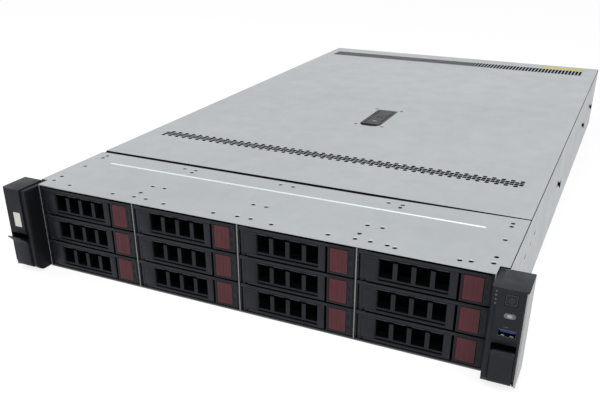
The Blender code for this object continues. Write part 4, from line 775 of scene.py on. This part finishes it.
def lever_blade():
    """Release lever: rounded hinge panel, four deep windows between set-back posts, plain grip."""
    lever = block("tray_lever", (TRAY_LEFT, LEVER_RIGHT), (0, 0.006), (0.0002, LEVER_TOP))
    bevel_edges(lever, "Z", HINGE_ROUND, 6, lambda at: at.x < TRAY_LEFT + SEAT)
    first, last = WINDOWS[0][0], WINDOWS[3][1]
    work(lever, block("recess", (first - 0.0006, last), (-OVER, 0.001), (0.0022, WINDOW_TOP)))
    work(lever, block("notches", (first - 0.0002, last), (-OVER, 0.0035), (POST_TOP, WINDOW_TOP + 0.0001)))
    work(lever, block("foot_line", (first, last), (-OVER, 0.0026), (0.0022, 0.0033)))
    for low, high in WINDOWS:
        hole = block("window", (low, high), (-OVER, 0.009), (0.0049, WINDOW_TOP))
        bevel_edges(hole, "Y", 0.0012, 4, lambda at: at.z > 0.01 and at.x > (low + high) / 2)
        work(lever, hole)
    work(lever, block("notch", (TRAY_LEFT - OVER, TRAY_LEFT + 0.0063), (-OVER, 0.009), (-OVER, 0.0018)))
    outline = block("outline", (TRAY_LEFT + 0.004, first - 0.0014), (-OVER, 0.00018), (0.0022, 0.0206))
    inside = block("inside", (TRAY_LEFT + 0.0044, first - 0.0018), (-OVER, 0.0005), (0.0026, 0.0202))
    work(lever, work(outline, inside))
    work(lever, rod("eye", "Z", (HINGE_X, 0.003, 0.012), 0.0015, 0.03, 24))
    for low, high in WINDOWS:
        hood = block("hood", (low + 0.0008, high - 0.0012), (-0.0001, 0.0008), span(WINDOW_TOP + 0.00015, 0.0005))
        bevel_edges(hood, "Y", 0.0002, 2)
        work(lever, hood, "UNION")
    eased(lever, chosen().edge * 0.6, 2)
    coated(lever, "lever")
    repaint(lever, "lintel", lambda at, normal: at.z > WINDOW_TOP + SEAT and at.x > first - 0.0006)
    # painted highlight along the small hood over each window
    repaint(lever, "hood", lambda at, normal: (
        at.y < 0.0007 and abs(at.z - WINDOW_TOP) < 0.0002 and first < at.x < last and normal.y < 0.2))
    return repaint(lever, "shadow", lambda at, normal: (
        at.y > 0.00125 and at.x > first - 0.002 and at.z < 0.0222))


def release_tile():
    """Red tile: eased edges, a lighter lip along its top and fine upright grooves."""
    tile = block("tray_tile", (TILE_LEFT, TILE_RIGHT), (0, 0.0035), (0.0018, 0.0224))
    bevel_edges(tile, "Y", 0.0005, 3)
    middle = (TILE_LEFT + TILE_RIGHT) / 2
    bevel_edges(tile, "X", 0.0009, 3, lambda at: at.z > 0.022 and at.y < 0.0005)
    for place in (-0.0048, 0, 0.0034):
        groove = block("groove", span(middle + place, chosen().groove), (-OVER, 0.00014), (0.0036, 0.02))
        work(tile, groove)
    eased(tile, chosen().edge * 0.7, 2)
    return coated(tile, "tile")


def tray_lights():
    """Light pipes beside the tile."""
    pipes = []
    for z in (0.008, 0.017):
        pipe = block("pipe", (0.04785, 0.04955), (0.0002, 0.0006), span(z, 0.0043))
        bevel_edges(pipe, "Y", 0.0004, 2)
        pipes.append(pipe)
    return coated(eased(joined("tray_lights", pipes), 0), "lens")


def build_trays():
    """Twelve trays from one set of pieces, numbered along the rows from the upper left."""
    masters = [
        (tray_front(), "front", "tray", "carrier", "black_plastic"), (tray_disk(), "disk", "tray", None, None),
        (tray_lights(), "lights", "tray", None, None), (lever_blade(), "lever", "arm", "lever", "grille_plastic"),
        (release_tile(), "tile", "key", "button", "red_plastic")]
    for number in range(12):
        row, column = divmod(number, 4)
        move = ((column - 1.5) * PITCH_X, 0, FIRST_ROW + (2 - row) * PITCH_Z)
        drive = f"drive_{number + 1:02d}"
        for master, part, body, node, slot in masters:
            piece = copied(master, f"{drive}_{part}_fine", move)
            dress(piece, None, f"{drive}_{body}", *([f"{drive}_{node}"] if node else []), slot=slot)
    for master, *_ in masters:
        bpy.data.objects.remove(master, do_unlink=True)


# ---------------------------------------------------------------- ears, their latches and controls


EAR_IN, STEP_X, EAR_OUT, CAP_LOW = 0.2152, 0.2202, 0.2395, 0.0844
EAR_FRONT, BAND_FRONT, EAR_BACK = -0.0205, -0.0183, 0.0105
FOOT_Y, FOOT_Z = -0.0083, 0.011
LATCH_Y, LATCH_Z = -0.015, 0.01
BAND_TOP = TOP - 0.0012
KEY_X, PILL_X = 0.2303, 0.2305
POWER_Z, PILL_Z, PORT_Z = 0.0777, 0.0648, 0.0505
PRINT = (EAR_FRONT - 0.00005, EAR_FRONT + 0.0002)


def ear_shell():
    """Right ear without its pockets: a proud front plate under a thin cap, beside a lower rounded band."""
    ear = block("ear", (STEP_X, EAR_OUT), (EAR_FRONT, EAR_BACK), (SHEET, TOP - 0.001))
    bevel_edges(ear, "Z", 0.001, 4, lambda at: at.x > EAR_OUT - SEAT and at.y < 0)
    cap = block("cap", (STEP_X, HALF_SPAN), (EAR_FRONT, EAR_BACK), (CAP_LOW, TOP))
    bevel_edges(cap, "Z", 0.004, 8, lambda at: at.x > EAR_OUT and at.y < 0)
    bevel_edges(cap, "X", 0.0014, 5, lambda at: near(at.z, TOP) and at.y < 0)
    work(ear, cap, "UNION")
    band = block("band", (EAR_IN, STEP_X + SHEET), (BAND_FRONT, EAR_BACK), (SHEET, BAND_TOP))
    bevel_edges(band, "Z", 0.0028, 7, lambda at: at.x < STEP_X and at.y < 0)
    bevel_edges(band, "X", 0.001, 4, lambda at: near(at.z, BAND_TOP) and at.y < 0)
    work(ear, band, "UNION")
    foot = block("foot", (EAR_IN - OVER, HALF_SPAN), (EAR_FRONT - OVER, FOOT_Y), (-OVER, FOOT_Z))
    heel = rod("heel", "X", (0.228, FOOT_Y, FOOT_Z), FOOT_Z - SHEET, 0.04, 96)
    work(ear, work(foot, heel))
    niche = block("niche", (STEP_X - 0.0002, 0.2383), (EAR_FRONT - OVER, -0.0085), (-OVER, 0.0412))
    bevel_edges(niche, "Y", 0.0008, 3, lambda at: at.z > 0.03)
    work(ear, niche)
    work(ear, rod("bearing", "X", (KEY_X, LATCH_Y, LATCH_Z), 0.0017, 0.0182, 24))
    return ear


def ear_coats(ear):
    """An ear's sides towards the trays and its latch niche painted darker as shade, and its top painted lighter as
    light from above.
    """
    coated(ear, "ear")
    repaint(ear, "ear_top", lambda at, normal: normal.z > 0.6 and at.z > 0.08)
    return repaint(ear, "ear_shade", lambda at, normal: (
        abs(normal.x) > 0.6 and abs(at.x) < STEP_X + SEAT or at.z < 0.0413 and at.y > EAR_FRONT + SEAT
        and abs(at.x) > STEP_X - SEAT))


def build_ears():
    """Left ear with its blank plate, right ear with its pockets and marks."""
    right = ear_shell()
    left = copied(right, "ear_left_shell", mirror=True)
    right.name = right.data.name = "ear_right_shell"
    work(left, block("seat", (-0.2318, -0.2234), (EAR_FRONT - OVER, EAR_FRONT + 0.0003), (0.0479, 0.0626)))
    work(right, block("power", span(KEY_X, 0.0092), (-0.03, -0.016), span(POWER_Z, 0.0092)))
    pill = block("pill", span(PILL_X, 0.0092), (-0.03, -0.0162), span(PILL_Z, 0.005))
    bevel_edges(pill, "Y", 0.00249, 7)
    work(right, pill)
    work(right, block("port", span(KEY_X, 0.0137), (-0.03, -0.0072), span(PORT_Z, 0.0063)))
    places = [(0.219, BAND_FRONT, z) for z in (0.0818, 0.0787, 0.0752, 0.072)]
    for place in places:
        work(right, rod("light", "Y", place, 0.00082, 0.0008, 16))
    for ear, node in ((left, "ear_left"), (right, "ear_right")):
        ear_coats(eased(ear, chosen().edge, 2, 35))
        dress(ear, None, "base", node, slot="ear_plastic")
    lights = [rod("light", "Y", (x, y + 0.0002, z), 0.00075, 0.0004, 16) for x, y, z in places]
    gathered("ear_right_lights", lights, "pale")
    plate = block(
        "ear_left_plate", (-0.23165, -0.22355), (EAR_FRONT - 0.0001, EAR_FRONT + 0.0002), (0.04805, 0.06245))
    bevel_edges(plate, "Y", 0.0007, 3)
    dress(eased(plate, 0.0001, 1), "plate", "base")
    port_mark = block("ear_right_port_mark", span(0.229, 0.0034), PRINT, span(0.0557, 0.0007))
    bevel_edges(port_mark, "Y", 0.0003, 3)
    dress(port_mark, "mark", "base")


def build_ear_latches():
    """Ear latch block with a round foot, whose thin lip curls forward and up, one for each ear."""
    latch = block("latch", (0.2206, 0.2379), (EAR_FRONT, -0.0125), (0.0046, 0.0388))
    work(latch, block("behind", (0.218, 0.24), (-0.0189, -0.01), (0.0322, 0.05)))
    bevel_edges(latch, "X", 0.0054, 8, lambda at: at.z < 0.01 and at.y < -0.018)
    bevel_edges(latch, "Y", 0.0034, 6, lambda at: at.z > 0.038 and at.x < 0.223)
    levels = [0.029, 0.0306, 0.0322, 0.0338, 0.0353, 0.0368]
    slice_at(latch, "Z", levels)
    for index, level in enumerate(levels):
        pick(latch, lambda vert: vert.co.z > level + 0.0001 and vert.co.y < FRONT - 0.0188, "VERT")
        bpy.ops.transform.translate(value=(0, -0.0003 * (index + 1), 0))
        back_out()
    work(latch, rod("pin", "X", (0.23025, LATCH_Y, LATCH_Z), 0.0013, 0.0179, 24), "UNION")
    eased(latch, chosen().edge, 2, 35)
    other = copied(latch, "ear_latch_left_fine", mirror=True)
    latch.name = latch.data.name = "ear_latch_right_fine"
    dress(latch, "latch", "right_latch", "ear_latch_right", slot="black_plastic")
    dress(other, "latch", "left_latch", "ear_latch_left", slot="black_plastic")


def build_controls():
    """Power key with its framed mark, locating key, and the port with tongue and contacts."""
    key = block("power_key_cap", span(KEY_X, 0.0086), (EAR_FRONT, -0.0175), span(POWER_Z, 0.0086))
    bevel_edges(key, "Y", 0.0006, 3)
    dress(eased(key, 0.0002, 2), "latch", "power_key", "power_button", slot="black_plastic")
    edge = block("power_key_frame", span(KEY_X, 0.008), PRINT, span(POWER_Z, 0.008))
    work(edge, block("inside", span(KEY_X, 0.0075), (-0.03, -0.01), span(POWER_Z, 0.0075)))
    icon = ring("power_key_icon", "Y", (KEY_X, EAR_FRONT, 0.0774), 0.0016, 0.00013, 40)
    work(icon, block("gap", span(KEY_X, 0.0011), (-0.03, -0.01), (0.0782, 0.0797)))
    bar = block("bar", span(KEY_X, 0.00034), (EAR_FRONT - 0.00005, EAR_FRONT + 0.00022), (0.0772, 0.0798))
    dress(joined("power_key_icon", [icon, bar, edge]), "mark", "power_key")

    pill = block("locating_key_cap", span(PILL_X, 0.0086), (EAR_FRONT, -0.0175), span(PILL_Z, 0.0044))
    bevel_edges(pill, "Y", 0.00219, 7)
    dress(eased(pill, 0.0004, 3, 45), "pale", "uid_key", "uid_button", slot="pale_button")
    window = squeezed(rod("locating_key_lens", "Y", (PILL_X, EAR_FRONT, PILL_Z), 0.0013, 0.0001, 24), (1.5, 1, 1))
    dress(window, "bright", "uid_key")

    shell = block("port_shell", span(KEY_X, 0.0131), (EAR_FRONT, -0.0075), span(PORT_Z, 0.0057))
    work(shell, block("hollow", span(KEY_X, 0.0125), (-0.03, -0.0085), span(PORT_Z, 0.0051)))
    eased(shell, 0.0001, 1)
    dress(shell, "plated", "base", "usb_port", slot="port_metal")
    repaint(shell, "shadow", lambda at, normal: normal.y > -0.5 and at.y > EAR_FRONT + 0.0004)
    tongue = block("port_tongue", span(0.2305, 0.0108), (EAR_FRONT + 0.0007, -0.0086), (0.05095, 0.0525))
    dress(eased(tongue, 0.0002, 2), "tongue", "base")
    contacts = [block("contact", span(KEY_X + place, 0.001), (EAR_FRONT + 0.0012, -0.012), (0.0508, 0.05095))
                for place in (-0.0036, -0.0012, 0.0012, 0.0036)]
    contacts += [block("spring", span(KEY_X + place, 0.0024), (EAR_FRONT + 0.0006, -0.014), (0.0484, 0.0487))
                 for place in (-0.003, 0.0033)]
    gathered("port_contacts", contacts, "gold")


# ---------------------------------------------------------------- rear and inside


def build_supplies():
    """Power supplies: case, fan guard, inlet with pins and a round pull handle."""
    case_x = 0.18445
    inlet_x, guard_x = case_x - 0.019, case_x + 0.0085
    low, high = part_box("psu_1")
    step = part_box("psu_2")[0].z - low.z
    middle = (low.z + high.z) / 2
    case = block("supply_case", span(case_x, 0.0735), (DEPTH - 0.185, DEPTH), (low.z, high.z))
    work(case, block("inlet_hole", span(inlet_x, 0.0272), (DEPTH - 0.0165, DEPTH + OVER), span(middle, 0.0197)))
    work(case, rod("guard_hole", "Y", (guard_x, DEPTH, middle), 0.0145, 0.006, 64))
    for x, z in ((0.0005, 0.0125), (0.0165, 0.0125), (0.0005, -0.0125), (0.0165, -0.0125)):
        work(case, rod("screw", "Y", (case_x + x, DEPTH - 0.0002, middle + z), 0.0013, 0.0008, 16))
    eased(case, 0.0004, 2)
    inlet = block("supply_inlet", span(inlet_x, 0.0268), (DEPTH - 0.016, DEPTH), span(middle, 0.0193))
    mouth = block("mouth", span(inlet_x, 0.024), (DEPTH - 0.015, DEPTH + OVER), span(middle, 0.0165))
    bevel_edges(mouth, "Y", 0.004, 1, lambda at: at.z > middle)
    work(inlet, mouth)
    eased(inlet, 0.0003, 2)
    pins = [block("pin", span(inlet_x + place * 0.007, 0.002), (DEPTH - 0.0155, DEPTH - 0.006),
                  span(middle + 0.002 * (1 - 2 * abs(place)), 0.004)) for place in (-1, 0, 1)]
    pins = eased(joined("supply_pins", pins), 0.0003, 2)
    centre = (guard_x, DEPTH - 0.001, middle)
    rings = [ring("guard", "Y", centre, radius, 0.0006, 48) for radius in (0.0045, 0.008, 0.0115, 0.0142)]
    for angle in (45, 135):
        bar = rod("bar", "X", (guard_x, centre[1] - 0.0006, middle), 0.0006, 0.0288, 12)
        pick(bar, lambda face: True)
        bpy.ops.transform.rotate(
            value=math.radians(angle), orient_axis="Y", center_override=(guard_x, centre[1] + FRONT, middle))
        back_out()
        rings.append(bar)
    guard = eased(joined("supply_guard", rings), 0)
    fan = rod("supply_fan", "Y", (guard_x, DEPTH - 0.0028, middle), 0.0062, 0.0004, 40)
    handle = pull_handle(case_x + 0.0235, middle)
    tab = block(
        "supply_tab", span(case_x - 0.0325, 0.004), (DEPTH - 0.001, DEPTH + 0.0095), span(middle - 0.002, 0.011))
    bevel_edges(tab, "X", 0.003, 5, lambda at: at.y > DEPTH)
    eased(tab, 0.0004, 2)
    parts = [(case, "case", "supply", True), (inlet, "inlet", "plastic", False), (pins, "pins", "plated", False),
             (guard, "guard", "plated", False), (fan, "fan", "shadow", False), (handle, "handle", "plastic", False),
             (tab, "tab", "tile", False)]
    for index in range(2):
        for piece, part, finish, stands in parts:
            twin = copied(piece, f"psu_{index + 1}_{part}_fine", (0, 0, index * step))
            dress(twin, finish, f"supply_{index + 1}", *([f"psu_{index + 1}"] if stands else []))
    for piece, *_ in parts:
        bpy.data.objects.remove(piece, do_unlink=True)


def pull_handle(x, z):
    """Bent round bar, drawn as a curve and made a mesh."""
    alone(None)
    half, reach, bend = 0.01, 0.0242, 0.006
    points = [(-0.001, half)]
    points += [(reach - bend + bend * math.sin(math.radians(a)), half - bend + bend * math.cos(math.radians(a)))
               for a in range(0, 91, 10)]
    points += [(y, -height) for y, height in reversed(points)]
    curve = bpy.data.curves.new("supply_handle", "CURVE")
    curve.dimensions, curve.bevel_depth, curve.bevel_resolution, curve.use_fill_caps = "3D", 0.0018, 5, True
    line = curve.splines.new("POLY")
    line.points.add(len(points) - 1)
    for knot, (y, height) in zip(line.points, points):
        knot.co = (x, DEPTH + FRONT + y, z + height, 1)
    guide = bpy.data.objects.new("supply_handle", curve)
    bpy.context.scene.collection.objects.link(guide)
    alone(guide)
    bpy.ops.object.convert(target="MESH")
    return eased(bpy.context.object, 0)


def build_rear():
    """Network ports of the rear wall: their liners and contacts."""
    sockets, ports = (-0.17, -0.148, -0.11), []
    for x in sockets:
        liner = block("liner", span(x, 0.0119), (DEPTH - 0.0118, DEPTH - 0.0004), (0.0111, 0.0204))
        work(liner, block("mouth", span(x, 0.0111), (DEPTH - 0.011, DEPTH + OVER), (0.0115, 0.02)))
        ports.append(liner)
    gathered("network_port_liners", ports, "shadow")
    contacts = [block("contact", span(x + (step - 3.5) * 0.00102, 0.0004), (DEPTH - 0.011, DEPTH - 0.003),
                      (0.019, 0.0194)) for x in sockets for step in range(8)]
    gathered("network_port_contacts", contacts, "gold")


def dress_solids():
    """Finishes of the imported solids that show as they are."""
    for name, finish in (
            ("drive_cage", "cage"), ("rear_panel", "steel"), ("motherboard", "board"), ("backplane", "board"),
            ("fan_wall", "plastic"), ("air_baffle", "plastic")):
        coated(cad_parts[name], finish)
    for index in range(4):
        coated(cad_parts[f"fan_rotor_{index + 1}"], "lever")


# ---------------------------------------------------------------- studio


def world_light(level):
    """Even light on the object, and a white surrounding for the camera and reflections."""
    world = bpy.context.scene.world or bpy.data.worlds.new("studio")
    bpy.context.scene.world = world
    world.use_nodes = True
    tree = world.node_tree
    tree.nodes.clear()
    path = wired(tree, "LightPath").outputs
    mirrored = wired(
        tree, "Math", {0: path["Is Glossy Ray"], 1: path["Is Transmission Ray"]}, operation="ADD", use_clamp=True)
    seen = wired(
        tree, "Math", {0: path["Is Camera Ray"], 1: mirrored.outputs[0]}, operation="ADD", use_clamp=True)
    strength = wired(tree, "MapRange", {"Value": seen.outputs[0], "To Min": level, "To Max": 1.0})
    background = wired(tree, "Background", {"Color": (*WHITE, 1), "Strength": strength.outputs[0]})
    wired(tree, "OutputWorld", {"Surface": background.outputs[0]})


def floor_finish():
    """Pale floor: white where light reaches it, grey in the object's shadow."""
    material = bpy.data.materials.new("studio_floor")
    material.use_nodes = True
    tree = material.node_tree
    tree.nodes.clear()
    path = wired(tree, "LightPath").outputs
    seen = wired(tree, "Math", {0: path["Is Camera Ray"], 1: path["Is Glossy Ray"]}, operation="ADD", use_clamp=True)
    share = wired(tree, "Math", {0: seen.outputs[0], 1: 0.72}, operation="MULTIPLY")
    diffuse = wired(tree, "BsdfDiffuse", {"Color": (0.92, 0.92, 0.92, 1)})
    glow = wired(tree, "Emission", {"Strength": 1.12})
    mix = wired(tree, "MixShader", {"Fac": share.outputs[0], 1: diffuse.outputs[0], 2: glow.outputs[0]})
    wired(tree, "OutputMaterial", {"Surface": mix.outputs[0]})
    return material


def build_floor():
    """Plain floor under the server."""
    alone(None)
    bpy.ops.mesh.primitive_plane_add(size=14, location=(0, 0, -0.0002))
    floor = bpy.context.object
    floor.name = "studio_floor"
    floor.data.materials.append(floor_finish())


def place_camera(lens):
    """Camera where the photographer stood: in front, to the right, a little above."""
    yaw, pitch = -0.4356, 0.4649
    ahead = Vector((math.sin(yaw) * math.cos(pitch), math.cos(yaw) * math.cos(pitch), -math.sin(pitch)))
    right = Vector((math.cos(yaw), -math.sin(yaw), 0))
    camera = bpy.data.objects.new("studio_camera", bpy.data.cameras.new("studio_camera"))
    camera.data.lens, camera.data.sensor_width, camera.data.sensor_fit = lens, 36, "HORIZONTAL"
    camera.data.shift_y = 0.1
    camera.data.clip_start, camera.data.clip_end = 0.01, 50
    turn = Matrix((right, right.cross(ahead), -ahead)).transposed().to_4x4()
    camera.matrix_world = Matrix.Translation((0.2792, -0.4742 + FRONT, 0.326)) @ turn
    bpy.context.scene.collection.objects.link(camera)
    bpy.context.scene.camera = camera


def place_lamp(name, place, target, size, power):
    """Large soft lamp aimed at a point."""
    lamp = bpy.data.objects.new(name, bpy.data.lights.new(name, "AREA"))
    lamp.data.shape, lamp.data.size, lamp.data.energy = "SQUARE", size, power
    lamp.matrix_world = Matrix.Translation(place) @ (Vector(target) - Vector(place)).to_track_quat(
        "-Z", "Y").to_matrix().to_4x4()
    bpy.context.scene.collection.objects.link(lamp)


# ---------------------------------------------------------------- operators and panel


class SERVER_OT_sheets(bpy.types.Operator):
    """Model the cover, the front deck and the body shell"""

    bl_idname = "server.sheets"
    bl_label = "Sheet Metal"

    def execute(self, context):
        build_cover()
        build_deck()
        build_body()
        return {"FINISHED"}


class SERVER_OT_finishes(bpy.types.Operator):
    """Make the finishes and give them to the solids that show as they are"""

    bl_idname = "server.finishes"
    bl_label = "Finishes"

    def execute(self, context):
        make_finishes(context.scene.server_colours)
        dress_solids()
        return {"FINISHED"}


class SERVER_OT_cover_latch(bpy.types.Operator):
    """Model the cover latch"""

    bl_idname = "server.cover_latch"
    bl_label = "Cover Latch"

    def execute(self, context):
        build_cover_latch()
        return {"FINISHED"}


class SERVER_OT_trays(bpy.types.Operator):
    """Model one drive tray and copy it to its twelve places"""

    bl_idname = "server.trays"
    bl_label = "Drive Trays"

    def execute(self, context):
        build_trays()
        return {"FINISHED"}


class SERVER_OT_ears(bpy.types.Operator):
    """Model the two ears with plate and marks"""

    bl_idname = "server.ears"
    bl_label = "Ears"

    def execute(self, context):
        build_ears()
        return {"FINISHED"}


class SERVER_OT_ear_latches(bpy.types.Operator):
    """Model the latches of the ears"""

    bl_idname = "server.ear_latches"
    bl_label = "Ear Latches"

    def execute(self, context):
        build_ear_latches()
        return {"FINISHED"}


class SERVER_OT_controls(bpy.types.Operator):
    """Model the keys and the port of the right ear"""

    bl_idname = "server.controls"
    bl_label = "Controls"

    def execute(self, context):
        build_controls()
        return {"FINISHED"}


class SERVER_OT_rear(bpy.types.Operator):
    """Model the power supplies and the connectors of the rear wall"""

    bl_idname = "server.rear"
    bl_label = "Rear"

    def execute(self, context):
        build_supplies()
        build_rear()
        return {"FINISHED"}


class SERVER_OT_stage(bpy.types.Operator):
    """Set floor, light and camera"""

    bl_idname = "server.stage"
    bl_label = "Studio"

    def execute(self, context):
        settings = context.scene.server_studio
        world_light(settings.world_level)
        build_floor()
        place_camera(settings.lens)
        middle = (0, 0, 0.05)
        place_lamp("key_lamp", (0.4, -1.0, 1.25), middle, 1.3, settings.key_level)
        place_lamp("fill_lamp", (-1.6, -0.6, 1.2), middle, 1.4, settings.key_level * 0.6)
        context.scene.view_settings.view_transform = "Standard"
        return {"FINISHED"}


class SERVER_PT_panel(bpy.types.Panel):
    """Sidebar panel of the storage server"""

    bl_idname = "SERVER_PT_panel"
    bl_label = "Storage Server"
    bl_space_type = "VIEW_3D"
    bl_region_type = "UI"
    bl_category = "Server"

    def draw(self, context):
        scene = context.scene
        for group in (scene.server_colours, scene.server_sizes, scene.server_studio):
            column = self.layout.column(align=True)
            for key in group.__annotations__:
                column.prop(group, key)
        for operator in OPERATORS:
            self.layout.operator(operator.bl_idname)


GROUPS = (ServerColours, ServerSizes, StudioSettings)
OPERATORS = (
    SERVER_OT_finishes, SERVER_OT_sheets, SERVER_OT_cover_latch, SERVER_OT_trays, SERVER_OT_ears,
    SERVER_OT_ear_latches, SERVER_OT_controls, SERVER_OT_rear, SERVER_OT_stage)


def register():
    """Register the classes and hang their settings on the scene."""
    for kind in (*GROUPS, *OPERATORS, SERVER_PT_panel):
        bpy.utils.register_class(kind)
    bpy.types.Scene.server_colours = PointerProperty(type=ServerColours)
    bpy.types.Scene.server_sizes = PointerProperty(type=ServerSizes)
    bpy.types.Scene.server_studio = PointerProperty(type=StudioSettings)


def unregister():
    """Take the classes and settings away again."""
    del bpy.types.Scene.server_colours, bpy.types.Scene.server_sizes, bpy.types.Scene.server_studio
    for kind in (SERVER_PT_panel, *reversed(OPERATORS), *reversed(GROUPS)):
        bpy.utils.unregister_class(kind)


def main():
    """Build everything in order."""
    register()
    for operator in OPERATORS:
        getattr(bpy.ops.server, operator.bl_idname.split(".")[1])()


if __name__ == "__main__":
    main()
